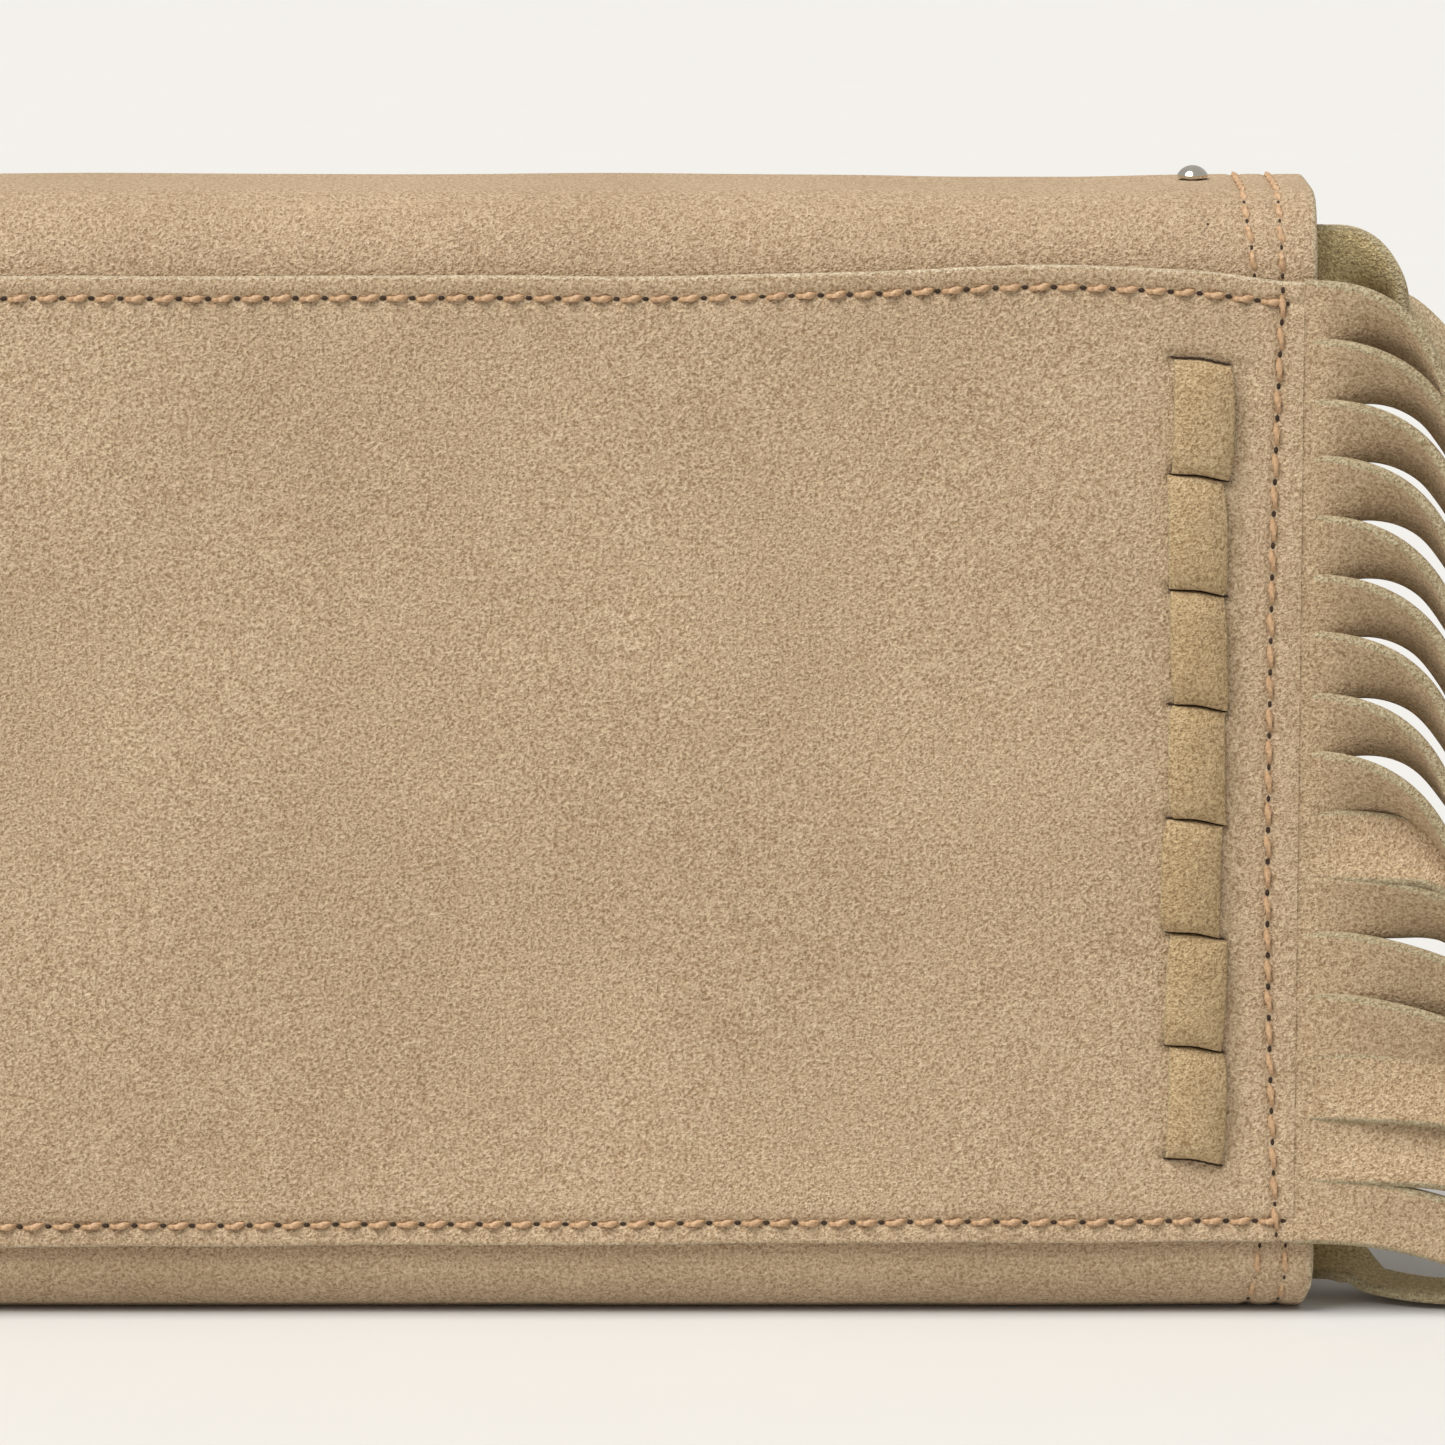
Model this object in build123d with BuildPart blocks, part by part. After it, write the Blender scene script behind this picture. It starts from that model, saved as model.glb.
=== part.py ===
"""A suede wristlet wallet: a folded leather body with a flap, a zipped middle pocket, card slots,
a sewn-on back panel that is cut into a fringe at one end, and a wrist strap at the same end.

The frame: the back faces -Y, the flap's front faces +Y, the fringe is at +X and the wallet
stands on the flat of its bottom fold at Z = 0. Lengths are in millimetres.
"""

import math
import os

from build123d import *

os.makedirs("parts", exist_ok=True)

# Body, as one folded sheet
WIDTH = 203.0
DEPTH = 27.0
LEATHER = 1.3
LINING = 0.5
BOTTOM_RADIUS = 6.5
WALL_TOP = 113.1
FRONT_DIP = 1.6
LINING_DIP = 1.0

# Flap, over the top and down the front
FOLD_RADIUS = 8.7
FOLD_RISE = 0.2
FLAP_CUT = 0.4
FLAP_GAP = 2.2
FLAP_LINING = 0.6
FLAP_BOTTOM = 12.0
FLAP_CORNER = 10.0

# Back panel and its fringe
PANEL = 1.4
PANEL_INSET = 3.5
PANEL_BOTTOM = 8.6
PANEL_RISE = 0.3
STRIPS = 16
STRIP_GAP = 0.35
STRIP_LENGTH = 92.0
STRIP_THICKNESS = 1.3
SWING_GAP = 0.3

# How the strips turn and hang: the lower a strip is, the slower it turns and the flatter it lies
TURN_LENGTH = 16.0
TURN_LONGER = 22.0
TURN_POWER = 0.7
SLOW_FROM = 8
SLOW_OVER = 7
LIE_FROM = 6
LIE_OVER = 9
HANG_CURVE = 0.0054
HANG_CURVE_END = 14.2
HANG_SLOPE = 3.2
LIE_LENGTH = 50.0
FLOOR_REST = 1.1
LAYER_GAP = 0.8
LAYER_SPREAD = 0.02
STEEPEST = 3.4
SOFTEN_SLOPE = 0.08
SOFTEN_MOST = 1.2
STRIP_STEPS = 16
FINE = 0.5
REACH = 6

# Lacing: one column on the back, one on the flap
LACE_INSET = 11.8
LACE_WIDTH = 6.1
LACE = 1.1
LACE_PITCH = 12.4
LACE_RISE = 1.6
LACE_SEGMENTS = 7
BACK_LACE_BOTTOM = 17.6
FRONT_LACE_BOTTOM = 22.0
SLOT_CLEARANCE = 0.2
LACE_FOOT_GAP = 0.1

# End gussets: a web and a flange that is sewn to the walls
GUSSET = 1.2
WEB_INSET = 2.5
FLANGE = 5.5
FLANGE_DIP = 3.0
FLANGE_RADIUS = 4.5
GUSSET_RISE = 4.3
GUSSET_CORNER = 6.0

# Inside
STIFFENER = 0.8
STIFFENER_INSET = 3.5
STIFFENER_EDGE = 0.3
LINING_RADIUS = 5.0
CARD_SHEET = 0.7
CARD_DROPS = (23.1, 33.1, 43.1)
SLOT_BOTTOM = 8.0
POCKET_INSET = 9.5
SLIP_DROP = 43.1

# Zipped pocket and its zipper
BAG_HALF = 4.0
BAG_SHEET = 0.6
BAG_BOTTOM = 6.0
ZIP_DROP = 16.1
TAPE = 0.5
TAPE_DROP = 12.0
TAPE_EDGE = 1.9
TAPE_INSET = 3.5
TEETH_INSET = 16.0
TEETH_PITCH = 2.85
TEETH_GAP = 0.5
TOOTH = 1.2
TOOTH_START = 1.0
BEAD = 0.7
BEAD_HEIGHT = 1.4
STOP_GAP = 0.5
STOP_SPLIT = 0.4
STOP_LENGTH = 2.5
STOP_HEIGHT = 2.0
SLIDER_INSET = 21.5
SLIDER_LENGTH = 9.0
SLIDER_HALF = 2.9
SLIDER_PLATE = 1.0
SLIDER_CLEAR = 0.4
RAIL = 0.6
RAIL_CLEAR = 0.3
SLIDER_POST = 0.4
POST_START = 2.5
POST_END = 0.9
BAIL_RISE = 2.1
BAIL_LEG = 0.8
BAIL_BAR = 0.7
BAIL_HALF = 2.4
BAIL_WIDTH = 1.8
PULLER_LENGTH = 16.0
PULLER_SHEET = 1.0
PULLER_WIDTH = 4.4
PULLER_EYE = 5.0
PULLER_RISE = 1.2
PULLER_ARM = 0.6
PULLER_HOLE = 1.0

# Snap
SNAP_Z = 26.0
SNAP_DIAMETER = 14.0
SNAP_WASHER = 12.0
SOCKET_RISE = 1.2
RECESS_RADIUS = 3.2
RECESS_DEPTH = 0.9
STUD_PLATE = 0.7
STUD_RADIUS = 2.5
STUD_RISE = 0.9
PRONG_X = 3.5
PRONG = 0.6
PRONG_WIDTH = 2.4
PRONG_CLEARANCE = 0.1
HOLE_CLEARANCE = 0.2

# Rivets
RIVET_DIAMETER = 3.3
RIVET_RISE = 1.3
RIVET_RIM = 0.3
RIVET_SHANK = 1.6
SHANK_CLEARANCE = 0.05
RIVET_TOP_Y = 4.4
RIVET_FRONT_Z = 16.5
BURR = 0.6
BURR_DIAMETER = 4.0

# Wrist strap
STRAP_WIDTH = 6.8
STRAP_GAP = 0.9
STRAP_RISE = 0.2
STRAP_FLOOR_GAP = 0.6
TAB_LENGTH = 8.5

# Worked out from the dimensions above
HALF = WIDTH / 2
BACK = -DEPTH / 2
FRONT = DEPTH / 2
INSIDE = DEPTH / 2 - LEATHER
CLEAR = INSIDE - LINING
FLOOR = LEATHER + STIFFENER + LINING
FRONT_WALL_TOP = WALL_TOP - FRONT_DIP
PANEL_TOP = WALL_TOP + PANEL_RISE
PANEL_FACE = BACK - PANEL
SPRING = WALL_TOP + FOLD_RISE
TOP = SPRING + FOLD_RADIUS
FLAP_START = WALL_TOP + FLAP_CUT
FLAP_LAYERS = LEATHER + FLAP_LINING
FLAP_INSIDE = FRONT + FLAP_GAP
FLAP_FACE = FLAP_INSIDE + FLAP_LAYERS
WEB_X = HALF - WEB_INSET
WEB_FACE = WEB_X + GUSSET
GUSSET_TOP = WALL_TOP + GUSSET_RISE
LACE_X = HALF - LACE_INSET
POCKET_HALF_WIDTH = HALF - POCKET_INSET
ZIP_Z = WALL_TOP - ZIP_DROP
BAG_TOP = ZIP_Z - TAPE / 2
BAG_INSIDE = BAG_HALF - BAG_SHEET
TEETH_END = HALF - TEETH_INSET
SLIDER_X = HALF - SLIDER_INSET
STRIP_PITCH = (PANEL_TOP - PANEL_BOTTOM) / STRIPS
STRAP_START = HALF + STRAP_GAP
STRAP_TOP_Z = WALL_TOP + STRAP_RISE
STRAP_BOTTOM_Z = LEATHER + STRAP_FLOOR_GAP + STRAP_WIDTH / 2


def block(low, high, mode=Mode.ADD):
    """Add a box between two corners to the open part."""
    middle = [(a + b) / 2 for a, b in zip(low, high)]
    with Locations(tuple(middle)):
        Box(high[0] - low[0], high[1] - low[1], high[2] - low[2], mode=mode)


def peg(centre, radius, height, axis="Z", mode=Mode.ADD):
    """Add a cylinder about its centre, along Y or Z, to the open part."""
    turn = (90, 0, 0) if axis == "Y" else (0, 0, 0)
    with Locations(centre):
        Cylinder(radius, height, rotation=turn, mode=mode)


def hand_over(builder, name):
    """Label the finished part and write its STEP file."""
    builder.part.label = name
    export_step(builder.part, f"parts/{name}.step")


def folded_sheet(half, floor, back_top, front_top, sheet, radius):
    """Draw the YZ outline of a sheet folded up from a flat bottom into two walls."""
    inner = radius - sheet
    bend = floor + radius
    flat = half - radius
    with BuildLine() as outline:
        Line((-half, back_top), (-half, bend))
        CenterArc((-flat, bend), radius, 180, 90)
        Line((-flat, floor), (flat, floor))
        CenterArc((flat, bend), radius, 270, 90)
        Line((half, bend), (half, front_top))
        Line((half, front_top), (half - sheet, front_top))
        Line((half - sheet, front_top), (half - sheet, bend))
        CenterArc((flat, bend), inner, 0, -90)
        Line((flat, floor + sheet), (-flat, floor + sheet))
        CenterArc((-flat, bend), inner, 270, -90)
        Line((-half + sheet, bend), (-half + sheet, back_top))
        Line((-half + sheet, back_top), (-half, back_top))
    make_face(outline.edges())


def flap_sheet(depth, sheet):
    """Draw the YZ outline of one flap layer, whose outer face lies depth below the outer one."""
    outer = FOLD_RADIUS - depth
    inner = outer - sheet
    rear = BACK + FOLD_RADIUS
    fore = FLAP_FACE - FOLD_RADIUS
    start = math.degrees(math.asin((FLAP_START - SPRING) / outer))
    start_inner = math.degrees(math.asin((FLAP_START - SPRING) / inner))
    with BuildLine() as outline:
        first = CenterArc((rear, SPRING), outer, 180 - start, start - 90)
        Line((rear, SPRING + outer), (fore, SPRING + outer))
        CenterArc((fore, SPRING), outer, 90, -90)
        Line((fore + outer, SPRING), (fore + outer, FLAP_BOTTOM))
        Line((fore + outer, FLAP_BOTTOM), (fore + inner, FLAP_BOTTOM))
        Line((fore + inner, FLAP_BOTTOM), (fore + inner, SPRING))
        CenterArc((fore, SPRING), inner, 0, 90)
        Line((fore, SPRING + inner), (rear, SPRING + inner))
        last = CenterArc((rear, SPRING), inner, 90, 90 - start_inner)
        Line(last @ 1, first @ 0)
    make_face(outline.edges())


def lace_slots(bottom, low_y, high_y):
    """Cut the row of slots that a lacing goes through."""
    half_x = LACE_WIDTH / 2 + SLOT_CLEARANCE
    half_z = LACE + SLOT_CLEARANCE
    for step in range(LACE_SEGMENTS + 1):
        z = bottom + step * LACE_PITCH
        block((LACE_X - half_x, low_y, z - half_z), (LACE_X + half_x, high_y, z + half_z), Mode.SUBTRACT)


def lacing(bottom, face, side, depth):
    """Draw a lacing as arches that rise off a face between slots; side is -1 behind, +1 in front."""
    foot = face - side * depth
    shoulder = face
    for step in range(LACE_SEGMENTS):
        low = bottom + step * LACE_PITCH
        high = low + LACE_PITCH
        middle = (low + high) / 2
        with BuildLine() as arch:
            Line((foot, low), (shoulder, low))
            ThreePointArc((shoulder, low), (face + side * LACE_RISE, middle), (shoulder, high))
            Line((shoulder, high), (foot, high))
            Line((foot, high), (foot, high - LACE))
            Line((foot, high - LACE), (shoulder, high - LACE))
            crown = face + side * (LACE_RISE - LACE)
            ThreePointArc((shoulder, high - LACE), (crown, middle), (shoulder, low + LACE))
            Line((shoulder, low + LACE), (foot, low + LACE))
            Line((foot, low + LACE), (foot, low))
        make_face(arch.edges())


def prongs(low_y, high_y, clearance=0.0, mode=Mode.ADD):
    """Add a snap's two prongs between two depths, or cut their slots."""
    half_x = PRONG / 2 + clearance
    half_z = PRONG_WIDTH / 2 + clearance
    for x in (-PRONG_X, PRONG_X):
        block((x - half_x, low_y, SNAP_Z - half_z), (x + half_x, high_y, SNAP_Z + half_z), mode)


def smooth(value):
    """Ease from 0 to 1."""
    value = min(max(value, 0.0), 1.0)
    return value * value * (3 - 2 * value)


# Body -----------------------------------------------------------------------------------------

with BuildPart() as outer_wrap:
    with BuildSketch(Plane.YZ):
        folded_sheet(DEPTH / 2, 0, WALL_TOP, FRONT_WALL_TOP, LEATHER, BOTTOM_RADIUS)
    extrude(amount=HALF, both=True)
    prongs(INSIDE, FRONT, PRONG_CLEARANCE, Mode.SUBTRACT)
hand_over(outer_wrap, "outer_wrap")

with BuildPart() as base_stiffener:
    half_x = HALF - STIFFENER_INSET
    half_y = DEPTH / 2 - BOTTOM_RADIUS - STIFFENER_EDGE
    block((-half_x, -half_y, LEATHER), (half_x, half_y, LEATHER + STIFFENER))
hand_over(base_stiffener, "base_stiffener")

with BuildPart() as body_lining:
    with BuildSketch(Plane.YZ):
        back_top = WALL_TOP - LINING_DIP
        front_top = FRONT_WALL_TOP - LINING_DIP
        folded_sheet(INSIDE, LEATHER + STIFFENER, back_top, front_top, LINING, LINING_RADIUS)
    extrude(amount=WEB_FACE, both=True)
    peg((0, INSIDE - LINING / 2, SNAP_Z), SNAP_WASHER / 2 + HOLE_CLEARANCE, LINING, "Y", Mode.SUBTRACT)
hand_over(body_lining, "body_lining")

with BuildPart() as back_panel:
    block((PANEL_INSET - HALF, PANEL_FACE, PANEL_BOTTOM), (HALF, BACK, PANEL_TOP))
    lace_slots(BACK_LACE_BOTTOM, PANEL_FACE, BACK)
hand_over(back_panel, "back_panel")

with BuildPart() as back_lacing:
    with BuildSketch(Plane.YZ.offset(LACE_X - LACE_WIDTH / 2)):
        lacing(BACK_LACE_BOTTOM, PANEL_FACE, -1, PANEL - LACE_FOOT_GAP)
    extrude(amount=LACE_WIDTH)
hand_over(back_lacing, "back_lacing")


def gusset(side):
    """Draw one end gusset: its web across the end and its flange along back, bottom and front."""
    web = side * WEB_X
    with BuildSketch(Plane.YZ.offset(web)) as end:
        with Locations((0, (FLOOR + GUSSET_TOP) / 2)):
            Rectangle(2 * CLEAR, GUSSET_TOP - FLOOR)
        fillet(end.vertices().group_by(Axis.Y)[0], FLANGE_RADIUS)
        fillet(end.vertices().group_by(Axis.Y)[-1], GUSSET_CORNER)
    extrude(end.sketch, amount=side * GUSSET)
    with BuildSketch(Plane.YZ.offset(web)) as edge:
        flange_top = FRONT_WALL_TOP - FLANGE_DIP
        folded_sheet(CLEAR, FLOOR, flange_top, flange_top, GUSSET, FLANGE_RADIUS)
    extrude(edge.sketch, amount=-side * FLANGE)


with BuildPart() as gusset_fringe_end:
    gusset(1)
hand_over(gusset_fringe_end, "gusset_fringe_end")

with BuildPart() as gusset_plain_end:
    gusset(-1)
hand_over(gusset_plain_end, "gusset_plain_end")

for level, drop in enumerate(CARD_DROPS):
    outer = -CLEAR + level * CARD_SHEET
    card_top = WALL_TOP - drop
    with BuildPart() as card_panel:
        block((-POCKET_HALF_WIDTH, outer, SLOT_BOTTOM), (POCKET_HALF_WIDTH, outer + CARD_SHEET, card_top))
    hand_over(card_panel, f"card_panel_{level + 1}")

with BuildPart() as slip_pocket_panel:
    low = (-POCKET_HALF_WIDTH, CLEAR - CARD_SHEET, SLOT_BOTTOM)
    block(low, (POCKET_HALF_WIDTH, CLEAR, WALL_TOP - SLIP_DROP))
hand_over(slip_pocket_panel, "slip_pocket_panel")

# Zipped pocket --------------------------------------------------------------------------------

with BuildPart() as zip_pocket_bag:
    block((-WEB_X, -BAG_HALF, BAG_BOTTOM), (WEB_X, BAG_HALF, BAG_TOP))
    inner_low = (-WEB_X + BAG_SHEET, -BAG_INSIDE, BAG_BOTTOM + BAG_SHEET)
    block(inner_low, (WEB_X - BAG_SHEET, BAG_INSIDE, BAG_TOP), Mode.SUBTRACT)
hand_over(zip_pocket_bag, "zip_pocket_bag")


def zipper_tape(side):
    """Draw one tape: a flat edge under the teeth and a fall that is sewn to the bag's outside."""
    outside = side * (BAG_HALF + TAPE)
    edges = sorted((side * TAPE_EDGE, outside))
    fall = sorted((side * BAG_HALF, outside))
    reach = HALF - TAPE_INSET
    block((-reach, edges[0], BAG_TOP), (reach, edges[1], BAG_TOP + TAPE))
    block((-reach, fall[0], BAG_TOP - TAPE_DROP), (reach, fall[1], BAG_TOP))


def zipper_teeth(side, shift):
    """Draw one row of teeth on its bead, shifted along X by half a pitch from the other row."""
    bead = sorted((side * TAPE_EDGE, side * (TAPE_EDGE - BEAD)))
    low_z = ZIP_Z - BEAD_HEIGHT / 2
    block((-TEETH_END, bead[0], low_z), (TEETH_END, bead[1], low_z + BEAD_HEIGHT))
    tooth = sorted((side * (TAPE_EDGE - BEAD), side * TEETH_GAP))
    count = int(2 * TEETH_END / TEETH_PITCH) - 1
    for step in range(count):
        x = -TEETH_END + TOOTH_START + shift + step * TEETH_PITCH
        low_z = ZIP_Z - TOOTH / 2
        block((x, tooth[0], low_z), (x + TEETH_PITCH / 2, tooth[1], low_z + TOOTH))


with BuildPart() as zipper_tape_back:
    zipper_tape(-1)
hand_over(zipper_tape_back, "zipper_tape_back")

with BuildPart() as zipper_tape_front:
    zipper_tape(1)
hand_over(zipper_tape_front, "zipper_tape_front")

with BuildPart() as zipper_teeth_back:
    zipper_teeth(-1, 0)
hand_over(zipper_teeth_back, "zipper_teeth_back")

with BuildPart() as zipper_teeth_front:
    zipper_teeth(1, TEETH_PITCH / 2)
hand_over(zipper_teeth_front, "zipper_teeth_front")

STOP_X = TEETH_END + STOP_GAP
STOP_LOW = ZIP_Z - STOP_HEIGHT / 2
STOP_HIGH = ZIP_Z + STOP_HEIGHT / 2
with BuildPart() as zipper_top_stops:
    for side in (-1, 1):
        edges = sorted((side * STOP_SPLIT, side * TAPE_EDGE))
        block((STOP_X, edges[0], STOP_LOW), (STOP_X + STOP_LENGTH, edges[1], STOP_HIGH))
hand_over(zipper_top_stops, "zipper_top_stops")

with BuildPart() as zipper_bottom_stop:
    block((-STOP_X - STOP_LENGTH, -TAPE_EDGE, STOP_LOW), (-STOP_X, TAPE_EDGE, STOP_HIGH))
hand_over(zipper_bottom_stop, "zipper_bottom_stop")

PLATE_NEAR = BEAD_HEIGHT / 2 + SLIDER_CLEAR
PLATE_FAR = PLATE_NEAR + SLIDER_PLATE
SLIDER_TOP = ZIP_Z + PLATE_FAR
with BuildPart() as zipper_slider:
    near = SLIDER_X - SLIDER_LENGTH / 2
    far = SLIDER_X + SLIDER_LENGTH / 2
    rail_gap = TAPE / 2 + RAIL_CLEAR
    block((near, -SLIDER_HALF, ZIP_Z + PLATE_NEAR), (far, SLIDER_HALF, SLIDER_TOP))
    block((near, -SLIDER_HALF, ZIP_Z - PLATE_FAR), (far, SLIDER_HALF, ZIP_Z - PLATE_NEAR))
    post = SLIDER_POST / 2
    block((far - POST_START, -post, ZIP_Z - PLATE_NEAR), (far - POST_END, post, ZIP_Z + PLATE_NEAR))
    for side in (-1, 1):
        rail = sorted((side * (SLIDER_HALF - RAIL), side * SLIDER_HALF))
        block((near, rail[0], ZIP_Z + rail_gap), (far, rail[1], ZIP_Z + PLATE_NEAR))
        block((near, rail[0], ZIP_Z - PLATE_NEAR), (far, rail[1], ZIP_Z - rail_gap))
    for x in (SLIDER_X - BAIL_HALF, SLIDER_X + BAIL_HALF - BAIL_LEG):
        block((x, -BAIL_WIDTH / 2, SLIDER_TOP), (x + BAIL_LEG, BAIL_WIDTH / 2, SLIDER_TOP + BAIL_RISE))
    low = (SLIDER_X - BAIL_HALF, -BAIL_WIDTH / 2, SLIDER_TOP + BAIL_RISE)
    block(low, (SLIDER_X + BAIL_HALF, BAIL_WIDTH / 2, SLIDER_TOP + BAIL_RISE + BAIL_BAR))
hand_over(zipper_slider, "zipper_slider")

PULLER_Z = SLIDER_TOP + PULLER_RISE
with BuildPart() as zip_puller:
    half_sheet = PULLER_SHEET / 2
    half_width = PULLER_WIDTH / 2
    peg((SLIDER_X, 0, PULLER_Z), half_sheet, PULLER_WIDTH, "Y")
    for side in (-1, 1):
        arm = sorted((side * (half_width - PULLER_ARM), side * half_width))
        low = (SLIDER_X - PULLER_EYE, arm[0], PULLER_Z - half_sheet)
        block(low, (SLIDER_X + half_sheet, arm[1], PULLER_Z + half_sheet))
    end = SLIDER_X - PULLER_LENGTH
    low = (end, -half_width, PULLER_Z - half_sheet)
    block(low, (SLIDER_X - PULLER_EYE, half_width, PULLER_Z + half_sheet))
    peg((end + half_width, 0, PULLER_Z), PULLER_HOLE, PULLER_SHEET, "Z", Mode.SUBTRACT)
hand_over(zip_puller, "zip_puller")

# Snap -----------------------------------------------------------------------------------------

with BuildPart() as snap_socket:
    peg((0, FRONT + SOCKET_RISE / 2, SNAP_Z), SNAP_DIAMETER / 2, SOCKET_RISE, "Y")
    mouth = FRONT + SOCKET_RISE - RECESS_DEPTH / 2
    peg((0, mouth, SNAP_Z), RECESS_RADIUS, RECESS_DEPTH, "Y", Mode.SUBTRACT)
    prongs(INSIDE - LINING, FRONT)
hand_over(snap_socket, "snap_socket")

with BuildPart() as snap_socket_washer:
    peg((0, INSIDE - LINING / 2, SNAP_Z), SNAP_WASHER / 2, LINING, "Y")
    prongs(INSIDE - LINING, INSIDE, PRONG_CLEARANCE, Mode.SUBTRACT)
hand_over(snap_socket_washer, "snap_socket_washer")

with BuildPart() as snap_stud:
    peg((0, FLAP_INSIDE - STUD_PLATE / 2, SNAP_Z), SNAP_DIAMETER / 2, STUD_PLATE, "Y")
    peg((0, FLAP_INSIDE - STUD_PLATE - STUD_RISE / 2, SNAP_Z), STUD_RADIUS, STUD_RISE, "Y")
    prongs(FLAP_INSIDE, FLAP_INSIDE + FLAP_LINING)
hand_over(snap_stud, "snap_stud")

with BuildPart() as snap_stud_washer:
    peg((0, FLAP_INSIDE + FLAP_LINING / 2, SNAP_Z), SNAP_WASHER / 2, FLAP_LINING, "Y")
    prongs(FLAP_INSIDE, FLAP_INSIDE + FLAP_LINING, PRONG_CLEARANCE, Mode.SUBTRACT)
hand_over(snap_stud_washer, "snap_stud_washer")

# Flap -----------------------------------------------------------------------------------------

def rivet_holes():
    """Cut both rivets' holes through the open flap layer."""
    radius = RIVET_SHANK / 2 + SHANK_CLEARANCE
    reach = 2 * FLAP_LAYERS
    peg((LACE_X, RIVET_TOP_Y, TOP), radius, reach, "Z", Mode.SUBTRACT)
    peg((LACE_X, FLAP_FACE, RIVET_FRONT_Z), radius, reach, "Y", Mode.SUBTRACT)


with BuildPart() as flap_outer:
    with BuildSketch(Plane.YZ):
        flap_sheet(0, LEATHER)
    extrude(amount=HALF, both=True)
    fillet(flap_outer.edges().filter_by(Axis.Y).group_by(Axis.Z)[0], FLAP_CORNER)
    lace_slots(FRONT_LACE_BOTTOM, FLAP_FACE - LEATHER, FLAP_FACE)
    rivet_holes()
hand_over(flap_outer, "flap_outer")

with BuildPart() as flap_lining:
    with BuildSketch(Plane.YZ):
        flap_sheet(LEATHER, FLAP_LINING)
    extrude(amount=HALF, both=True)
    fillet(flap_lining.edges().filter_by(Axis.Y).group_by(Axis.Z)[0], FLAP_CORNER)
    rivet_holes()
    middle = (0, FLAP_INSIDE + FLAP_LINING / 2, SNAP_Z)
    peg(middle, SNAP_WASHER / 2 + HOLE_CLEARANCE, FLAP_LINING, "Y", Mode.SUBTRACT)
hand_over(flap_lining, "flap_lining")

with BuildPart() as front_lacing:
    with BuildSketch(Plane.YZ.offset(LACE_X - LACE_WIDTH / 2)):
        lacing(FRONT_LACE_BOTTOM, FLAP_FACE, 1, LEATHER - LACE_FOOT_GAP)
    extrude(amount=LACE_WIDTH)
hand_over(front_lacing, "front_lacing")


def dome(plane):
    """Draw a rivet's domed head on a plane, with its shank going back through the flap."""
    half = RIVET_DIAMETER / 2
    cap = RIVET_RISE - RIVET_RIM
    radius = (half**2 + cap**2) / (2 * cap)
    lowest = math.degrees(math.asin((radius - cap) / radius))
    with BuildSketch(plane) as profile:
        with BuildLine():
            Line((0, 0), (half, 0))
            Line((half, 0), (half, RIVET_RIM))
            CenterArc((0, RIVET_RISE - radius), radius, lowest, 90 - lowest)
            Line((0, RIVET_RISE), (0, 0))
        make_face()
    revolve(profile.sketch, axis=Axis(plane.origin, plane.y_dir))
    with BuildSketch(Plane(plane.origin, x_dir=plane.x_dir, z_dir=plane.y_dir)) as shank:
        Circle(RIVET_SHANK / 2)
    extrude(shank.sketch, amount=-(FLAP_LAYERS + BURR))


with BuildPart() as rivet_top:
    dome(Plane((LACE_X, RIVET_TOP_Y, TOP), x_dir=(1, 0, 0), z_dir=(0, -1, 0)))
hand_over(rivet_top, "rivet_top")

with BuildPart() as rivet_front:
    dome(Plane((LACE_X, FLAP_FACE, RIVET_FRONT_Z), x_dir=(1, 0, 0), z_dir=(0, 0, 1)))
hand_over(rivet_front, "rivet_front")

with BuildPart() as rivet_burr_top:
    z = TOP - FLAP_LAYERS - BURR / 2
    peg((LACE_X, RIVET_TOP_Y, z), BURR_DIAMETER / 2, BURR)
    peg((LACE_X, RIVET_TOP_Y, z), RIVET_SHANK / 2 + SHANK_CLEARANCE, BURR, "Z", Mode.SUBTRACT)
hand_over(rivet_burr_top, "rivet_burr_top")

with BuildPart() as rivet_burr_front:
    y = FLAP_INSIDE - BURR / 2
    peg((LACE_X, y, RIVET_FRONT_Z), BURR_DIAMETER / 2, BURR, "Y")
    peg((LACE_X, y, RIVET_FRONT_Z), RIVET_SHANK / 2 + SHANK_CLEARANCE, BURR, "Y", Mode.SUBTRACT)
hand_over(rivet_burr_front, "rivet_burr_front")

# Ribbons: fringe strips and the wrist strap ---------------------------------------------------


def unit(vector):
    """Scale a vector to length 1."""
    return vector * (1 / vector.length)


def ribbon(points, twists, width, sheet, finish=None):
    """Loft a flat ribbon along points; a twist of 0 stands it on edge and 90 lays it flat.

    It starts square to the wallet's end, and finishes square to a direction if one is given.
    """
    last = len(points) - 1
    headings = [unit(points[min(k + 1, last)] - points[max(k - 1, 0)]) for k in range(last + 1)]
    headings[0] = Vector(1, 0, 0)
    headings[last] = finish or headings[last]
    sections = []
    for index, point in enumerate(points):
        along = headings[index]
        side = unit(Vector(0, 1, 0) - along * along.Y)
        upright = unit(side.cross(along)) * -1
        turn = math.radians(twists[index])
        across = upright * math.cos(turn) - side * math.sin(turn)
        with BuildSketch(Plane(point, x_dir=across, z_dir=along)) as section:
            Rectangle(width, sheet)
        sections.append(section.sketch)
    loft(sections, ruled=True)


def even_points(route, length, steps):
    """Walk along a fine route and return evenly spaced points up to a length."""
    marks = [length * step / steps for step in range(steps + 1)]
    picked = []
    walked = 0.0
    for start, end in zip(route, route[1:]):
        stretch = (end - start).length
        while marks and marks[0] <= walked + stretch:
            picked.append(start + (end - start) * ((marks.pop(0) - walked) / stretch))
        walked += stretch
    return picked


STRIP_WIDTH = STRIP_PITCH - STRIP_GAP
STRIP_Y = (BACK + PANEL_FACE) / 2
ROOT_X = HALF + SWING_GAP


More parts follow.
